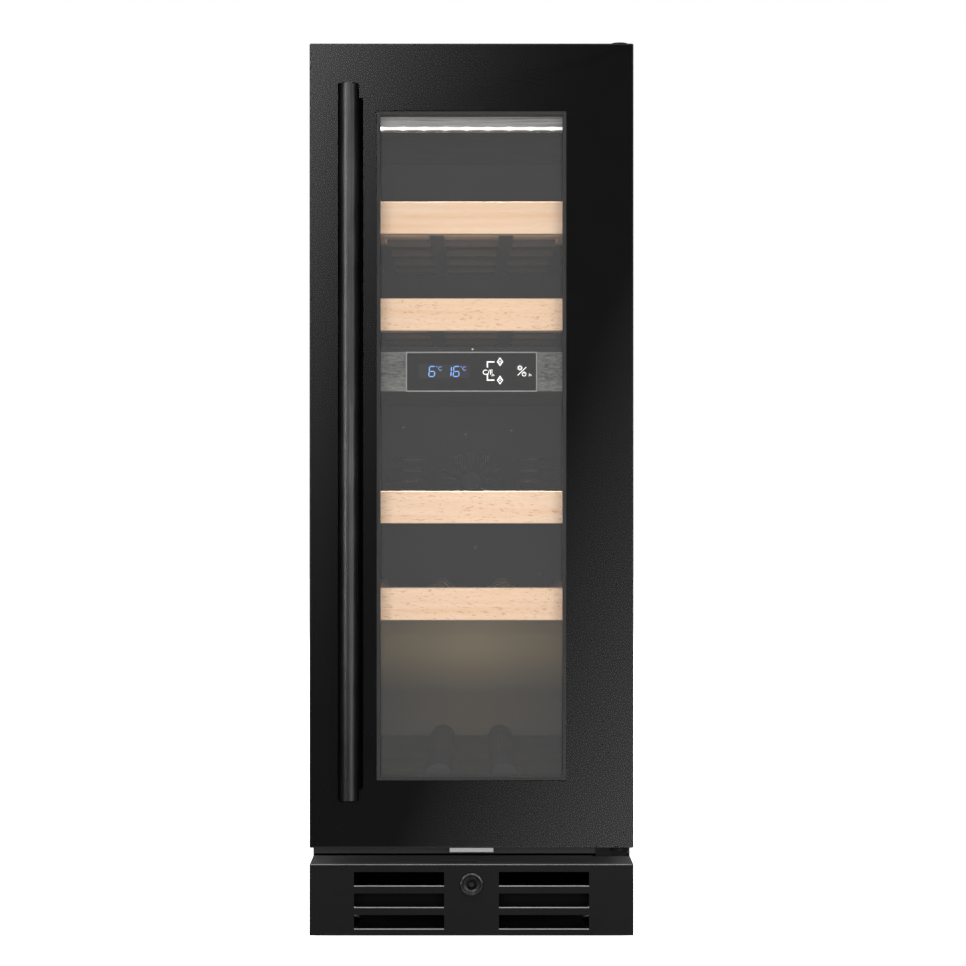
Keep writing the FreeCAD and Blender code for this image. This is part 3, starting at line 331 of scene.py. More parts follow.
def beech(name, board_back, flecks, painted_shade_offset):
    """Oiled beech. The front board's grain runs across the cooler and the slats' from front to back.
    The slats' undersides carry a painted shade, dark brown from a given distance behind the board on."""
    look = Finish(name, screen(238, 200, 166))
    look.constant("Specular IOR Level", 0.35)
    x, y, z = look.axes()
    on_board = look.maths("LESS_THAN", y, board_back)
    along, across = 0.035, 1.0
    space = look.add("ShaderNodeCombineXYZ")
    for socket, axis, on_slat, on_front in zip(space.inputs, (x, y), (across, along), (along, across)):
        look.feed(socket, look.maths("MULTIPLY", axis, look.span(on_board, on_slat, on_front, 0, 1)))
    look.feed(space.inputs[2], z)
    look.place = space.outputs[0]
    bands = look.noise(7 * MM, detail=2)
    fibre = look.noise(0.8 * MM, (2.2, 2.2, 1), detail=4, roughness=0.7)
    rays = look.noise(1.15 * MM, (7, 7, 1), detail=1)
    wood = look.blend(look.span(bands, 0, 1), screen(231, 193, 158), screen(240, 211, 183))
    wood = look.blend(look.span(fibre, 0.3, 0), wood, screen(214, 168, 130))
    wood = look.blend(look.span(rays, 0, flecks, 0.63, 0.71), wood, screen(176, 122, 84))
    # Painted shade: faces turned down go dark brown from the given distance behind the board on.
    under = look.maths("LESS_THAN", look.normal()[2], 0.5)
    start = board_back + painted_shade_offset
    painted_shade = look.maths("MULTIPLY", under, look.span(y, 0, 0.97, start, start + 25 * MM))
    wood = look.blend(painted_shade, wood, screen(26, 21, 18))
    look.feed(look.shader.inputs["Base Color"], wood)
    look.gloss(fibre, 0.42, 0.6)
    look.bump(fibre, 0.03 * MM)
    return look.material


def pane(name, clear, haze=0.0, printed=None):
    """Float glass: clear faces that mirror by their angle, smudged a little, and dark green ground edges.
    The rim round the node that is printed on the glass is as dark as the edges.
    haze is the share of each outer face that shows as a pale film, as a heat-reflecting coating does."""
    look = Finish(name, (0.012, 0.017, 0.015), roughness=0.35)
    geometry = look.add("ShaderNodeNewGeometry")
    facing = look.maths("SUBTRACT", 1.0, geometry.outputs["Backfacing"])
    through = look.add("ShaderNodeBsdfTransparent")
    through.inputs[0].default_value = (*clear, 1)
    mirror = look.add("ShaderNodeBsdfAnisotropic")
    mirror.inputs["Color"].default_value = (1, 1, 1, 1)
    smudges = look.noise(55 * MM, detail=5, roughness=0.7)
    look.feed(mirror.inputs["Roughness"], look.span(smudges, 0.004, 0.03))
    fresnel = look.add("ShaderNodeFresnel")
    fresnel.inputs["IOR"].default_value = 1.45
    face = look.mix(look.maths("MULTIPLY", fresnel.outputs[0], facing), through.outputs[0], mirror.outputs[0])
    if haze:
        film = look.add("ShaderNodeBsdfDiffuse")
        film.inputs["Color"].default_value = (1, 1, 1, 1)
        cloud = look.span(smudges, haze * 0.97, haze * 1.03)
        face = look.mix(look.maths("MULTIPLY", cloud, facing), face, film.outputs[0])
    on_edge = look.maths("LESS_THAN", look.away(look.normal()[1]), 0.5)
    if printed:
        x, _, z = look.axes()
        low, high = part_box(printed)
        overlap = 0.4 * MM
        aside = look.maths("GREATER_THAN", look.away(x), high.x - overlap)
        above = look.maths("GREATER_THAN", z, high.z - overlap)
        below = look.maths("LESS_THAN", z, low.z + overlap)
        rim = look.maths("MAXIMUM", aside, look.maths("MAXIMUM", above, below))
        on_edge = look.maths("MAXIMUM", on_edge, rim)
    look.gloss(look.noise(2 * MM, detail=3), 0.3, 0.5)
    look.shade(look.mix(on_edge, face, look.shader.outputs[0]))
    return look.material


def spacer_bar(name):
    """The bar between the panes: dark on its front, grey on the walls that look into the window."""
    look = Finish(name, (0.03, 0.03, 0.031))
    look.constant("Specular IOR Level", 0.1)
    rolled = look.noise(3 * MM, (1, 1, 0.1), detail=3)
    wall = look.maths("LESS_THAN", look.away(look.normal()[1]), 0.5)
    grey = look.blend(look.span(rolled, 0, 1), (0.065, 0.065, 0.065), (0.085, 0.085, 0.085))
    look.feed(look.shader.inputs["Base Color"], look.blend(wall, look.tint(rolled, 0.15), grey))
    look.gloss(rolled, 0.5, 0.7)
    look.bump(rolled, 0.01 * MM)
    return look.material


def lock_lacquer(name, box):
    """Black lacquer on the lock: painted shade in dark rings in the gaps round the barrel and bezel, and
    painted highlights in pale rings on one side of two rims.
    """
    look = Finish(name, (0.006, 0.006, 0.0061))
    x, _, z = look.axes()
    middle = (box[0] + box[1]) / 2
    across = look.maths("POWER", look.away(x, middle.x), 2)
    up = look.maths("POWER", look.away(z, middle.z), 2)
    radius = look.maths("SQRT", look.maths("ADD", across, up))
    wear_and_glint = look.noise(5 * MM, detail=3)
    colour = look.tint(wear_and_glint, 0.3)
    glint_patches = look.span(wear_and_glint, 0.2, 1, 0.4, 0.6)
    # Painted highlights: pale patches above the middle and below it, where the rims would catch light.
    above = look.maths("MULTIPLY", glint_patches, look.span(z, 0, 1, middle.z - 2 * MM, middle.z + 4 * MM))
    below = look.maths("MULTIPLY", glint_patches, look.span(z, 1, 0, middle.z - 4 * MM, middle.z))
    # Each ring's radius and half width in millimetres, its tone, and the side that its painted highlight lies
    # on.
    gaps = ((4.0, 0.9, 0.0003, None), (11.3, 0.8, 0.0002, None))
    rims = ((5.7, 0.5, 0.05, below), (9.9, 0.6, 0.04, above))
    for ring, half, tone, side in gaps + rims:
        share = look.span(look.away(radius, ring * MM), 1, 0, half * 0.7 * MM, half * 1.3 * MM)
        if side:
            share = look.maths("MULTIPLY", share, side)
        colour = look.blend(share, colour, (tone, tone, tone))
    look.feed(look.shader.inputs["Base Color"], colour)
    look.gloss(wear_and_glint, 0.16, 0.28)
    look.bump(look.noise(0.9 * MM, detail=2), 0.003 * MM)
    return look.material


def printed_border(name):
    """Black enamel fired onto the back of the glass. It has no gloss of its own behind the pane."""
    look = Finish(name, (0.0012, 0.0012, 0.0013), roughness=0.7)
    look.constant("Specular IOR Level", 0.0)
    look.tint(look.noise(30 * MM, detail=3), 0.15)
    return look.material


def led_cover(name, lit_above):
    """Clear covers over rows of LEDs: a bright line with a hot spot at each one. The lower row only glows."""
    look = Finish(name, (0.05, 0.05, 0.05), roughness=0.2)
    x, _, z = look.axes()
    phase = look.maths("FRACT", look.maths("ADD", look.maths("DIVIDE", x, LED_PITCH), 0.5 + LED_SHIFT))
    spot = look.span(look.maths("MULTIPLY", look.away(phase, 0.5), LED_PITCH), 1, 0, 0, 6.5 * MM)
    light = look.maths("MULTIPLY_ADD", look.maths("POWER", spot, 2.0), 2.6, 1.15)
    light = look.maths("MULTIPLY", light, look.span(z, 0.05, 1, lit_above - MM, lit_above))
    light = look.maths("MULTIPLY", light, look.span(look.normal()[1], 1, 0.06, -0.9, -0.5))
    look.feed(look.shader.inputs["Emission Strength"], light)
    look.constant("Emission Color", (1.0, 0.985, 0.95, 1))
    look.bump(look.noise(0.5 * MM, detail=1), 0.01 * MM)
    return look.material


def glowing(name, colour, strength):
    """A lit segment: bright, a little uneven from one part to the next."""
    unlit = scaled(colour, 0.6)
    look = Finish(name, unlit, roughness=0.4)
    uneven = look.noise(2.5 * MM, detail=2)
    look.constant("Emission Color", (*colour, 1))
    look.feed(look.shader.inputs["Emission Strength"], look.span(uneven, strength * 0.85, strength * 1.1))
    return look.material


def faint_glass(name, colour, roughness=0.5):
    """Black glass with hardly any gloss of its own, for the touch panel and its display."""
    look = Finish(name, colour, roughness=roughness)
    look.constant("Specular IOR Level", 0.05)
    return look


def liner_plastic(name, step_front, step_top):
    """The black liner. The step over the machine room carries painted light: a warm grey pool, fading
    downwards, where the lower light falls.
    """
    look = Finish(name, (0.008, 0.008, 0.008))
    look.constant("Specular IOR Level", 0.25)
    _, y, z = look.axes()
    behind = look.maths("GREATER_THAN", y, step_front - MM)
    ahead = look.maths("LESS_THAN", y, step_front + 2.5 * MM)
    under = look.maths("LESS_THAN", z, step_top + 0.5 * MM)
    on_step = look.maths("MULTIPLY", look.maths("MULTIPLY", behind, ahead), under)
    # Painted light: the step's face turns warm grey, brightest at its top.
    fade = look.span(z, 0.15, 1.0, step_top - 90 * MM, step_top)
    grain = look.noise(0.6 * MM, detail=2)
    flow = look.noise(60 * MM, detail=3)
    black = look.tint(flow, 0.15)
    lit = look.blend(look.maths("MULTIPLY", on_step, fade), black, (0.28, 0.215, 0.12))
    look.feed(look.shader.inputs["Base Color"], lit)
    look.gloss(flow, 0.5, 0.66)
    look.bump(grain, 0.004 * MM)
    return look.material


# --- Putting finishes and edges on the CAD nodes ---


def coat(material, *nodes):
    """Gives CAD nodes one material."""
    for node in nodes:
        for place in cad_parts[node].material_slots:
            place.material = material


def soften(width, *nodes, segments=2):
    """Breaks CAD nodes' sharp edges with a small bevel, in millimetres, so that they catch the light."""
    for node in nodes:
        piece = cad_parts[node]
        weld = piece.modifiers.new("Weld", "WELD")
        weld.merge_threshold = 0.001 * MM
        bevel = piece.modifiers.new("Bevel", "BEVEL")
        bevel.width = width * MM
        bevel.segments = segments
        bevel.limit_method = "ANGLE"
        bevel.angle_limit = math.radians(40)
        bevel.harden_normals = True


def each_shelf(part):
    return [f"shelf_{i + 1}_{part}" for i in range(SHELF_COUNT)]


def finish_case():
    """The steel case, its base, back and fasteners."""
    coat(painted_steel("case_paint", (0.02, 0.02, 0.0205), 0.4), "outer_case")
    coat(painted_steel("back_paint", (0.03, 0.03, 0.033), 0.5, peel=0.01), "rear_panel", "machine_cover")
    coat(painted_steel("pan_paint", (0.003, 0.003, 0.003), 0.6, peel=0.01, specular=0.1), "base_pan")
    coat(plated_steel("zinc_screws", (0.62, 0.63, 0.64), flake=2), "case_fasteners")
    coat(moulded("spacer_plastic", (0.03, 0.03, 0.03), 0.6), "rear_spacers")
    coat(foam("insulation_foam"), "foam_insulation")
    soften(0.5, "outer_case", "rear_spacers")


def finish_cavity():
    """What lines the cold zones: liner, divider, ducts, fans, evaporators and the rest on the floor."""
    rest_to_step, cover_to_step = 4 * MM, 36.4 * MM
    step_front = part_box("bottle_rest")[1].y + rest_to_step
    step_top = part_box("machine_cover")[1].z + cover_to_step
    coat(liner_plastic("liner_plastic", step_front, step_top), "inner_liner")
    coat(moulded("divider_plastic", (0.008, 0.008, 0.008), 0.55, specular=0.25), "zone_divider")
    coat(moulded("duct_plastic", (0.01, 0.01, 0.01), 0.55, specular=0.25), "duct_covers")
    coat(moulded("fan_frame_plastic", (0.012, 0.012, 0.012), 0.5), "fan_frames")
    blades = moulded("blade_plastic", (0.02, 0.02, 0.021), 0.35)
    coat(blades, "fan_upper_blades", "fan_lower_blades", "condenser_fan_blades")
    coat(fins("evaporator_fins", (0.75, 0.76, 0.78)), "evaporators")
    coat(moulded("rest_plastic", (0.014, 0.014, 0.014), 0.5), "bottle_rest")
    coat(brushed_steel("runner_steel", (0.45, 0.45, 0.46), (1, 0.03, 1)), "fixed_runners")
    soften(0.8, "bottle_rest", "duct_covers")


def finish_lights():
    """The brushed housing over the upper zone, the LED boards and their clear covers."""
    housing_steel = brushed_steel("housing_steel", (0.42, 0.415, 0.41), (0.022, 1, 1), 1.5, 0.85, 0.35, 0.42)
    coat(housing_steel, "light_housing")
    between_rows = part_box("light_housing")[0].z - 20 * MM
    coat(led_cover("led_cover", between_rows), "light_covers")
    coat(circuit_board("led_board", (0.8, 0.8, 0.76)), "led_boards")
    soften(0.4, "light_housing", "light_covers")


def finish_controls():
    """The fascia across the divider, the control housing's rim, its black glass and its board."""
    fascia_steel = brushed_steel("fascia_steel", (0.15, 0.15, 0.146), (0.4, 1, 1.3), 1.9, 0.9, 0.3, 0.45)
    rim_steel = brushed_steel("rim_steel", (0.36, 0.36, 0.355), (0.05, 1, 1), 0.6, 0.12, 0.3, 0.35)
    coat(fascia_steel, "divider_fascia")
    coat(rim_steel, "control_housing")
    panel = faint_glass("panel_glass", (0.002, 0.002, 0.002))
    panel.gloss(panel.noise(25 * MM, detail=4), 0.12, 0.25)
    coat(panel.material, "control_glass")
    coat(circuit_board("board_lacquer", (0.015, 0.09, 0.035)), "control_board")
    soften(0.3, "control_housing", "divider_fascia", "control_glass")


def finish_door():
    """The two panes with their border and spacer, the frame, trim, gasket, handle, bushes and strike."""
    coat(pane("front_pane", (0.975, 0.975, 0.975), printed="glass_border"), "outer_glass")
    coat(pane("inner_pane", (0.97, 0.97, 0.97), haze=0.037), "inner_glass")
    coat(printed_border("border_enamel"), "glass_border")
    coat(spacer_bar("spacer_coat"), "pane_spacer")
    coat(painted_steel("frame_coat", (0.014, 0.014, 0.0145), 0.42), "door_frame")
    coat(moulded("trim_plastic", (0.02, 0.02, 0.02), 0.5), "inner_trim")
    coat(rubber("gasket_rubber", (0.018, 0.018, 0.018)), "door_gasket")
    coat(anodised("black_anodised", (0.055, 0.055, 0.056)), "handle_bar", "handle_posts")
    coat(moulded("bush_plastic", (0.01, 0.01, 0.01), 0.45), "hinge_bushes")
    coat(brushed_steel("strike_steel", (0.4, 0.4, 0.4), (0.05, 1, 1), 0.4, 0.15, 0.4), "lock_strike")
    soften(0.35, "door_frame", "lock_strike")
    soften(0.8, "handle_bar", segments=3)
    soften(0.6, "inner_trim", "door_gasket")


def finish_plinth():
    """The slotted plinth with its lock, the hinges and the feet."""
    # The plinth's top faces get a paler colour, painted light where the door shades them.
    painted_top_colour = (0.075, 0.075, 0.075)
    plinth_paint = painted_steel("plinth_paint", (0.0085, 0.0085, 0.0086), 0.4, specular=0.1, painted_light_top=painted_top_colour)
    hinge_paint = painted_steel("hinge_paint", (0.006, 0.006, 0.0061), 0.4, specular=0.25)
    coat(plinth_paint, "plinth_grille")
    coat(hinge_paint, "hinge_upper", "hinge_lower")
    coat(lock_lacquer("lock_lacquer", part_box("lock_housing")), "lock_housing", "lock_barrel")
    coat(plated_steel("cam_oxide", (0.004, 0.004, 0.004), 0.5, flake=3), "lock_cam")
    feet = [f"foot_{end}_{side}" for end in ("front", "rear") for side in ("left", "right")]
    coat(plated_steel("foot_zinc", (0.03, 0.03, 0.03), 0.35, flake=3), *feet)
    soften(0.45, "plinth_grille", "hinge_upper", "hinge_lower")
    soften(0.3, "lock_cam")
    soften(0.5, "lock_housing", "lock_barrel", segments=3)


def finish_machine():
    """The compressor, condenser, pipes and boxes in the machine room."""
    coat(painted_steel("compressor_paint", (0.012, 0.012, 0.012), 0.22), "compressor")
    coat(rubber("mount_rubber", (0.02, 0.02, 0.02)), "compressor_mounts")
    coat(painted_steel("condenser_paint", (0.02, 0.02, 0.02), 0.45), "condenser")
    coat(moulded("tray_plastic", (0.06, 0.06, 0.06), 0.5), "drip_tray")
    coat(moulded("box_plastic", (0.7, 0.7, 0.67), 0.5), "power_board_box")
    coat(copper("pipe_copper"), "refrigerant_pipes")
    coat(moulded("inlet_plastic", (0.015, 0.015, 0.015), 0.45), "power_inlet")
    soften(0.6, "drip_tray", "power_board_box")
    soften(0.3, "power_inlet")


def finish_shelves():
    """Beech shelves on steel slides. The top shelf's board is plain, and the others have darker rays."""
    slide_steel = brushed_steel("slide_steel", (0.42, 0.42, 0.43), (1, 0.03, 1))
    coat(slide_steel, *each_shelf("slides"))
    board_thick = 16.5 * MM
    # Each board's share of rays, and how far behind the board the painted shade under the slats starts.
    plain, rayed = (0.1, 60 * MM), (0.55, -8 * MM)
    for i, deck in enumerate(each_shelf("deck")):
        flecks, painted_shade_offset = rayed if i else plain
        coat(beech(f"beech_{i + 1}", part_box(deck)[0].y + board_thick, flecks, painted_shade_offset), deck)
    soften(1.0, *each_shelf("deck"))


# --- Pieces that only the looks need ---


def add_piece(name, mesh, material, body):
    """Puts a mesh on a body of the model, with the finish given."""
    piece = bpy.data.objects.new(name, mesh)
    bpy.context.scene.collection.objects.link(piece)
    mesh.materials.append(material)
    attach(piece, body)


class Inlay:
    """Thin flat shapes that stand on a face turned to the front, gathered into one mesh.
    Places are x and z in millimetres."""

    def __init__(self, face, thickness=0.12):
        self.mesh = bmesh.new()
        self.face = face
        self.thickness = thickness * MM

    def prism(self, outline):
        """A plate of any outline, which runs anticlockwise as seen from the front."""
        front, back = self.face - self.thickness, self.face
        near = [self.mesh.verts.new((x * MM, front, z * MM)) for x, z in outline]
        far = [self.mesh.verts.new((x * MM, back, z * MM)) for x, z in outline]
        self.mesh.faces.new(near)
        self.mesh.faces.new(far[::-1])
        for i in range(len(outline)):
            j = (i + 1) % len(outline)
            self.mesh.faces.new((near[j], near[i], far[i], far[j]))

    def stroke(self, start, end, width):
        (x0, z0), (x1, z1) = start, end
        length = math.hypot(x1 - x0, z1 - z0)
        across = Vector((-(z1 - z0), x1 - x0)) * (width / 2 / length)
        along = Vector((x1 - x0, z1 - z0)) * (width / 2 / length)
        a, b = Vector(start) - along, Vector(end) + along
        self.prism([a - across, b - across, b + across, a + across])

    def ring(self, centre, radius, width, steps):
        """A ring of short straight plates."""
        turns = [math.tau * i / steps for i in range(steps)]
        points = [Vector(centre) + radius * Vector((math.cos(turn), math.sin(turn))) for turn in turns]
        for i in range(steps):
            self.stroke(points[i - 1], points[i], width)

    def text(self, words, height, x, z):
        """Words in the built-in font, with their lower left corner at x, z."""
        size_per_capital, boldness = 1.37, 0.012
        curve = bpy.data.curves.new("words", "FONT")
        curve.body = words
        curve.size = height * MM * size_per_capital
        curve.extrude = self.thickness / 2
        curve.offset = boldness * height * MM
        holder = bpy.data.objects.new("words", curve)
        bpy.context.scene.collection.objects.link(holder)
        bpy.context.view_layer.update()
        flat = bpy.data.meshes.new_from_object(holder)
        for vertex in flat.vertices:
            across, up, out = vertex.co
            vertex.co = (x * MM + across, self.face - self.thickness / 2 - out, z * MM + up)
        self.mesh.from_mesh(flat)
        bpy.data.objects.remove(holder)

    def finished(self, name):
        mesh = bpy.data.meshes.new(name)
        bmesh.ops.recalc_face_normals(self.mesh, faces=self.mesh.faces)
        self.mesh.to_mesh(mesh)
        self.mesh.free()
        return mesh


SEGMENTS = {
    "top": ((0, 2), (1, 2)),
    "middle": ((0, 1), (1, 1)),
    "bottom": ((0, 0), (1, 0)),
    "upper_left": ((0, 1), (0, 2)),
    "lower_left": ((0, 0), (0, 1)),
    "upper_right": ((1, 1), (1, 2)),
    "lower_right": ((1, 0), (1, 1)),
}
DIGITS = {
    "1": ("upper_right", "lower_right"),
    "6": ("top", "middle", "bottom", "upper_left", "lower_left", "lower_right"),
}
# The digits' sizes and places, in millimetres.
DIGIT_WIDE = 5.2
DIGIT_TALL = 9.4
DIGIT_STROKE = 0.95
DIGIT_GAP = 0.95
DIGIT_SLANT = math.tan(math.radians(5))
DIGIT_PLACES = (("6", -40.0), ("1", -24.6), ("6", -17.2))
UNIT_PLACES = (-33.3, -10.7)


def add_digit(inlay, digit, left, low):
    """A slanted seven-segment digit, whose bars stop short of each other."""

    def corner(column, row):
        z = row * DIGIT_TALL / 2
        return Vector((left + column * DIGIT_WIDE + z * DIGIT_SLANT, low + z))

    for segment in DIGITS[digit]:
        start, end = (corner(*spot) for spot in SEGMENTS[segment])
        inset = (end - start).normalized() * DIGIT_GAP
        inlay.stroke(start + inset, end - inset, DIGIT_STROKE)


def add_display(face, low):
    """The two lit temperatures, on a faintly lighter display window."""
    left, right, high, film = -49, -2, low + 13.2, 0.04
    window = Inlay(face, film)
    window.prism([(left, low), (right, low), (right, high), (left, high)])
    look = faint_glass("display_window", (0.011, 0.0112, 0.0115), roughness=0.3)
    look.tint(look.noise(1.2 * MM, detail=2), 0.12)
    add_piece("display_window", window.finished("display_window"), look.material, "cabinet")

    digits = Inlay(face - film * MM)
    base = low + 1.6
    for digit, place in DIGIT_PLACES:
        add_digit(digits, digit, place, base)
    blue = glowing("lit_digits", (0.21, 0.42, 0.92), 0.85)
    add_piece("display_digits", digits.finished("display_digits"), blue, "cabinet")

    units = Inlay(face - film * MM)
    for place in UNIT_PLACES:
        units.ring((place + 0.9, base + 9.2), 0.55, 0.3, 12)
        units.text("C", 3.9, place + 1.9, base + 5.6)
    dim_blue = glowing("lit_units", (0.16, 0.34, 0.85), 0.7)
    add_piece("display_units", units.finished("display_units"), dim_blue, "cabinet")


def add_arrow_key(icons, x, z, up):
    """A diamond outline with an arrowhead over a bar in it, made of strokes."""
    half_wide, half_tall, arm = 2.45, 3.5, 1.2
    corners = [(x, z - half_tall), (x + half_wide, z), (x, z + half_tall), (x - half_wide, z)]
    for i in range(4):
        icons.stroke(corners[i - 1], corners[i], 0.85)
    turn = 1 if up else -1
    tip, foot, bar = z + 0.6 * turn, z - 0.5 * turn, z - 1.3 * turn
    for side in (-arm, arm):
        icons.stroke((x + side, foot), (x, tip), 0.55)
    icons.stroke((x - arm, bar), (x + arm, bar), 0.5)


def add_icons(face, middle):
    """The touch keys' marks: arrows with their bracket, the unit key, and the light and power key."""
    icons = Inlay(face, 0.08)
    keys, stem, arm, line, rise = 26.7, 14.9, 20.9, 1.2, 8.5
    add_arrow_key(icons, keys, middle + rise + 0.2, True)
    add_arrow_key(icons, keys, middle - rise, False)
    for level, root in ((middle + rise, middle + 3.9), (middle - rise, middle - 3.0)):
        icons.stroke((arm, level), (stem, level), line)
        icons.stroke((stem, level), (stem, root), line)
    icons.text("C/F", 4.9, 10.3, middle - 3.4)
    for left in (18.4, 53.1):
        icons.text("3s", 2.5, left, middle - 4.7)
    sun, power, rays = Vector((45.3, middle + 2.9)), Vector((49.2, middle - 2.9)), 8
    icons.ring(sun, 1.35, 0.6, 16)
    for i in range(rays):
        ray = Vector((math.cos(math.tau * i / rays), math.sin(math.tau * i / rays)))
        icons.stroke(sun + ray * 2.1, sun + ray * 2.45, 0.55)
    icons.ring(power, 1.75, 0.6, 20)
    icons.stroke(power + Vector((0, 0.4)), power + Vector((0, 2.2)), 0.6)
    icons.stroke((43.4, middle - 3.9), (50.9, middle + 3.4), 0.75)
    white = glowing("lit_icons", (0.95, 0.95, 0.93), 0.9)
    add_piece("control_icons", icons.finished("control_icons"), white, "cabinet")


def add_sensor(face, x, z):
    """The small clear lens of the door sensor, in the divider's front."""
    mesh = bmesh.new()
    bmesh.ops.create_uvsphere(mesh, u_segments=16, v_segments=10, radius=0.9 * MM)
    bmesh.ops.scale(mesh, vec=(1, 0.5, 1), verts=mesh.verts)
    bmesh.ops.translate(mesh, vec=(x, face, z), verts=mesh.verts)
    data = bpy.data.meshes.new("door_sensor")
    mesh.to_mesh(data)
    mesh.free()
    data.shade_smooth()
    # Painted glint: the lens glows, though the sensor gives off no light.
    lens = glowing("sensor_lens_glint", (0.75, 0.72, 0.62), 0.35)
    add_piece("door_sensor", data, lens, "cabinet")


def add_plinth_edges():
    """Bright steel beads under the plinth's slots and along its top: thin half-round beads whose pale steel
    is a painted highlight, standing in for the light that those edges catch.
    """
    low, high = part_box("plinth_grille")
    # The beads' pale steel is a painted highlight on the plinth's black edges.
    bright = brushed_steel("edge_highlight_steel", (0.3, 0.3, 0.3), (0.05, 1, 1), 0.5, 0.3, 0.3, 0.4)
    near, far = 25 * MM, 107 * MM
    highest_edge, pitch, rows_of_slots = 19.9 * MM, 19.6 * MM, 3
    slim, full = 0.3 * MM, 0.45 * MM
    edges = [(high.z - full, low.x + MM, high.x - MM, slim)]
    for i in range(rows_of_slots):
        level = high.z - highest_edge - i * pitch
        edges += [(level, -far, -near, full), (level, near, far, full)]
    mesh = bmesh.new()
    reach, sunk, steps = 0.5 * MM, 0.25 * MM, 6
    turns = [math.pi * (0.5 + k / steps) for k in range(steps + 1)]
    for level, left, right, half in edges:
        profile = [(low.y + sunk + reach * math.cos(turn), level + half * math.sin(turn)) for turn in turns]
        first, last = ([mesh.verts.new((x, y, z)) for y, z in profile] for x in (left, right))
        for k in range(steps + 1):
            mesh.faces.new((first[k - 1], first[k], last[k], last[k - 1]))
        mesh.faces.new(first)
        mesh.faces.new(last[::-1])
    bmesh.ops.recalc_face_normals(mesh, faces=mesh.faces)
    data = bpy.data.meshes.new("plinth_edges")
    mesh.to_mesh(data)
    mesh.free()
    add_piece("plinth_edges", data, bright, "cabinet")


def add_details():
    panel_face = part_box("control_glass")[0].y
    window_low, icons_middle = 515.6, 522.3
    add_display(panel_face, window_low)
    add_icons(panel_face, icons_middle)
    sensor_side, sensor_rise = 1 * MM, 2.7 * MM
    add_sensor(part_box("zone_divider")[0].y, sensor_side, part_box("divider_fascia")[1].z + sensor_rise)
    add_plinth_edges()


# --- Studio ---


def look_along(holder, target):
    holder.rotation_euler = (Vector(target) - holder.location).to_track_quat("-Z", "Y").to_euler()


def add_lamp(name, place, target, size, power, mirrored=False, colour=(1, 1, 1)):
    """A soft rectangular light. Only a mirrored one shows in glossy surfaces."""
    data = bpy.data.lights.new(name, "AREA")
    data.shape = "RECTANGLE"
    data.size, data.size_y = size
    data.energy = power
    data.color = colour
    lamp = bpy.data.objects.new(name, data)
    bpy.context.scene.collection.objects.link(lamp)
    lamp.location = place
    look_along(lamp, target)
    lamp.visible_camera = False
    lamp.visible_glossy = mirrored
    return lamp


def light_only(lamp, *nodes):
    """Keeps a lamp to a few CAD nodes, so that it shapes them without a mark on the rest."""
    lit = bpy.data.collections.new(lamp.name + "_lit")
    for node in nodes:
        lit.objects.link(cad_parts[node])
    lamp.light_linking.receiver_collection = lit


def add_studio_lamps(front):
    behind_eye = (0, front - EYE_DISTANCE - 0.2, EYE_HEIGHT)
    add_lamp("front_light", behind_eye, (0, front, EYE_HEIGHT), (0.9, 0.5), 61.5)
    add_lamp("top_light", (-0.1, front - 0.7, 2.1), (0, front + 0.1, 0.4), (1.6, 0.9), 16, mirrored=True)
    bar_low, bar_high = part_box("handle_bar")
    bar = (bar_low + bar_high) / 2
    for side, turn, power in (("left", -28, 15), ("right", 36, 24)):
        away = Vector((math.sin(math.radians(turn)), -math.cos(math.radians(turn)), 0.21)) * 1.2
        strip = add_lamp("handle_strip_" + side, bar + away, bar, (0.2, 1.2), power, mirrored=True)
        light_only(strip, "handle_bar", "lock_housing", "lock_barrel")
    for side, x, power in (("left", -1.2, 36), ("right", 1.2, 42)):
        add_lamp("back_light_" + side, (x, 2.9, 1.7), (0, 0, 0.4), (1.2, 1.6), power)
        add_lamp("side_light_" + side, (1.9 * x, 0.2, 1.3), (0, 0, 0.4), (1.2, 1.6), 1.3 * power)


def add_cavity_lamps():
    """What the LED rows throw down into each zone."""
    housing_low, fascia_low = (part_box(node)[0] for node in ("light_housing", "divider_fascia"))
    rows = (("upper_row", housing_low.z - 6 * MM, 0.185), ("lower_row", fascia_low.z - 3 * MM, 0.38))
    for name, z, power in rows:
        place = (0, housing_low.y + 7 * MM, z)
        lamp = add_lamp(name, place, (0, place[1], 0), (0.2, 0.008), power, colour=(1, 0.96, 0.9))
        lamp.data.spread = math.radians(150)


# The card's light: an even glow, a pool of light at the top left that fades out by the diagonal's middle, and
# one at the bottom right. Along the diagonal the top left corner is 0 and the bottom right one is 2.
CARD_EVEN = 0.174
UPPER_POOL = 2.04
UPPER_FADE = 2.25
LOWER_POOL = 1.7
LOWER_START = 1.25
CARD_WINDOW = 0.2
CARD_DISTANCE = 0.45


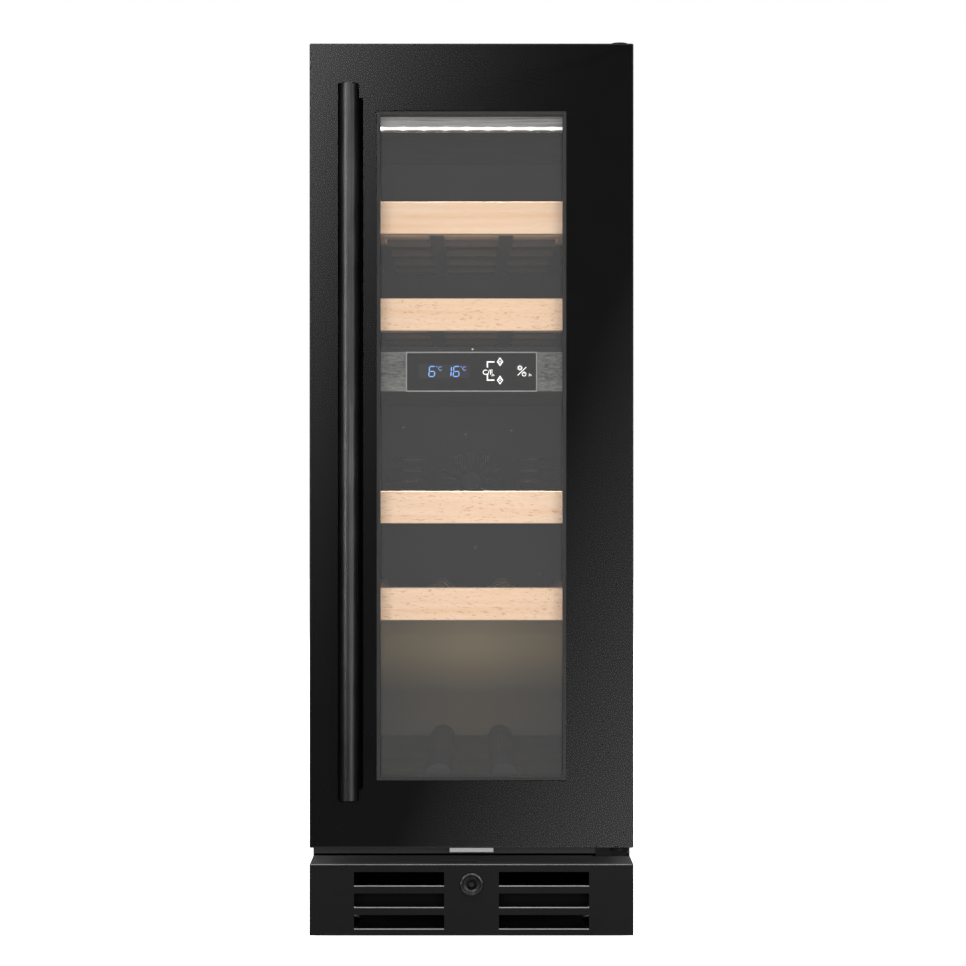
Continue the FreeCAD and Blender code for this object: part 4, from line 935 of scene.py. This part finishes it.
def card_light(low, high, spread):
    """The reflector card's material. Its light is even where the window mirrors it."""
    look = Finish("reflector_card")
    x, _, z = look.axes()
    top, bottom = (EYE_HEIGHT + (edge - EYE_HEIGHT) * spread for edge in (high.z, low.z))
    across = look.span(x, 0, 1, low.x * spread, high.x * spread)
    diagonal = look.maths("ADD", across, look.span(z, 0, 1, top, bottom))
    to_middle = look.maths("MAXIMUM", look.maths("SUBTRACT", 1.0, diagonal), 0.0)
    past_start = look.maths("MAXIMUM", look.maths("SUBTRACT", diagonal, LOWER_START), 0.0)
    glow = look.maths("MULTIPLY_ADD", look.maths("POWER", to_middle, UPPER_FADE), UPPER_POOL, CARD_EVEN)
    glow = look.maths("MULTIPLY_ADD", past_start, LOWER_POOL, glow)
    window_low, window_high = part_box("pane_spacer")
    inset = 5 * MM
    half_wide = (window_high.x - inset) * spread
    half_tall = (window_high.z - window_low.z - 2 * inset) / 2 * spread
    middle = EYE_HEIGHT + ((window_high.z + window_low.z) / 2 - EYE_HEIGHT) * spread
    beside = look.maths("LESS_THAN", look.away(x), half_wide)
    inside = look.maths("MULTIPLY", beside, look.maths("LESS_THAN", look.away(z, middle), half_tall))
    light = look.add("ShaderNodeEmission")
    look.feed(light.inputs["Strength"], look.span(inside, glow, CARD_WINDOW, 0, 1))
    look.shade(light.outputs[0])
    return look.material


def add_sheet(name, corners, material):
    """A flat four-sided sheet that belongs to the studio."""
    mesh = bpy.data.meshes.new(name)
    mesh.from_pydata(corners, [], [(0, 1, 2, 3)])
    mesh.materials.append(material)
    sheet = bpy.data.objects.new(name, mesh)
    bpy.context.scene.collection.objects.link(sheet)
    return sheet


def add_card():
    """A reflector card ahead of the door, seen only in glossy surfaces. It grades across the glass."""
    low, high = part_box("outer_glass")
    material = card_light(low, high, (EYE_DISTANCE + CARD_DISTANCE) / EYE_DISTANCE)
    place, half_wide, foot, top = low.y - CARD_DISTANCE, 0.34, 2 * MM, 1.2
    corners = [(-half_wide, foot), (half_wide, foot), (half_wide, top), (-half_wide, top)]
    card = add_sheet("reflector_card", [(x, place, z) for x, z in corners], material)
    card.visible_camera = False
    card.visible_diffuse = False
    card.visible_transmission = False
    card.visible_volume_scatter = False
    card.visible_shadow = False


def add_floor():
    """A plain pale floor that glows, with a painted shadow under the object, where its colour goes dark and
    its glow fades out; farther off the glow grows a little.
    """
    look = Finish("floor_paper", (0.82, 0.82, 0.82), roughness=0.9)
    look.constant("Specular IOR Level", 0.0)
    look.constant("Emission Color", (1, 1, 1, 1))
    x, y, _ = look.axes()
    beside = look.maths("SUBTRACT", look.away(x), cad_box[1].x)
    outside = look.maths("MAXIMUM", beside, look.maths("SUBTRACT", look.away(y), cad_box[1].y))
    case_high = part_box("outer_case")[1]
    in_front = look.maths("SUBTRACT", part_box("plinth_grille")[0].y, y)
    lengthways = look.maths("MAXIMUM", in_front, look.maths("SUBTRACT", y, case_high.y))
    past_foot = look.maths("MAXIMUM", look.maths("SUBTRACT", look.away(x), case_high.x), lengthways)
    shade_end = -26 * MM
    # The glow fades out towards the object's foot, which keeps the painted shadow dark.
    near = look.span(past_foot, 0, 0.95, shade_end - 8 * MM, shade_end)
    far = look.span(outside, 0, 0.1, 0.3, 2.0)
    look.feed(look.shader.inputs["Emission Strength"], look.maths("ADD", near, far))
    # Painted shadow: the floor's colour goes dark under the object.
    shaded = look.span(past_foot, 0, 1, shade_end - 14 * MM, shade_end)
    look.feed(look.shader.inputs["Base Color"], look.blend(shaded, (0.01, 0.01, 0.01), look.colour))
    half = 7.0
    corners = [(-half, -half, 0), (half, -half, 0), (half, half, 0), (-half, half, 0)]
    floor = add_sheet("floor", corners, look.material)
    floor.visible_glossy = False
    floor.visible_diffuse = False


def set_world(seen=1.0, felt=0.2, mirrored=0.02):
    """White behind the object, a dimmer even light on it, and little of that in its reflections."""
    world = bpy.data.worlds.new("studio")
    world.use_nodes = True
    nodes, links = world.node_tree.nodes, world.node_tree.links
    background = nodes["Background"]
    background.inputs[0].default_value = (1, 1, 1, 1)
    path = nodes.new("ShaderNodeLightPath")
    strength = felt
    for ray, level in (("Is Glossy Ray", mirrored), ("Is Camera Ray", seen)):
        chosen = nodes.new("ShaderNodeMix")
        links.new(path.outputs[ray], chosen.inputs[0])
        if isinstance(strength, float):
            chosen.inputs[2].default_value = strength
        else:
            links.new(strength, chosen.inputs[2])
        chosen.inputs[3].default_value = level
        strength = chosen.outputs[0]
    links.new(strength, background.inputs[1])
    bpy.context.scene.world = world


def add_camera(front):
    data = bpy.data.cameras.new("camera")
    data.sensor_width = SENSOR
    data.lens = SENSOR * EYE_DISTANCE / VIEW_WIDTH
    data.shift_x = FRAME_SHIFT
    camera = bpy.data.objects.new("camera", data)
    bpy.context.scene.collection.objects.link(camera)
    camera.location = (0, front - EYE_DISTANCE, EYE_HEIGHT)
    camera.rotation_euler = (math.radians(90), 0, 0)
    bpy.context.scene.camera = camera


def set_studio():
    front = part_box("outer_glass")[0].y
    bpy.context.scene.view_settings.view_transform = "Standard"
    set_world()
    add_floor()
    add_card()
    add_studio_lamps(front)
    add_cavity_lamps()
    add_camera(front)


finish_case()
finish_cavity()
finish_lights()
finish_controls()
finish_door()
finish_plinth()
finish_machine()
finish_shelves()
add_details()
set_studio()
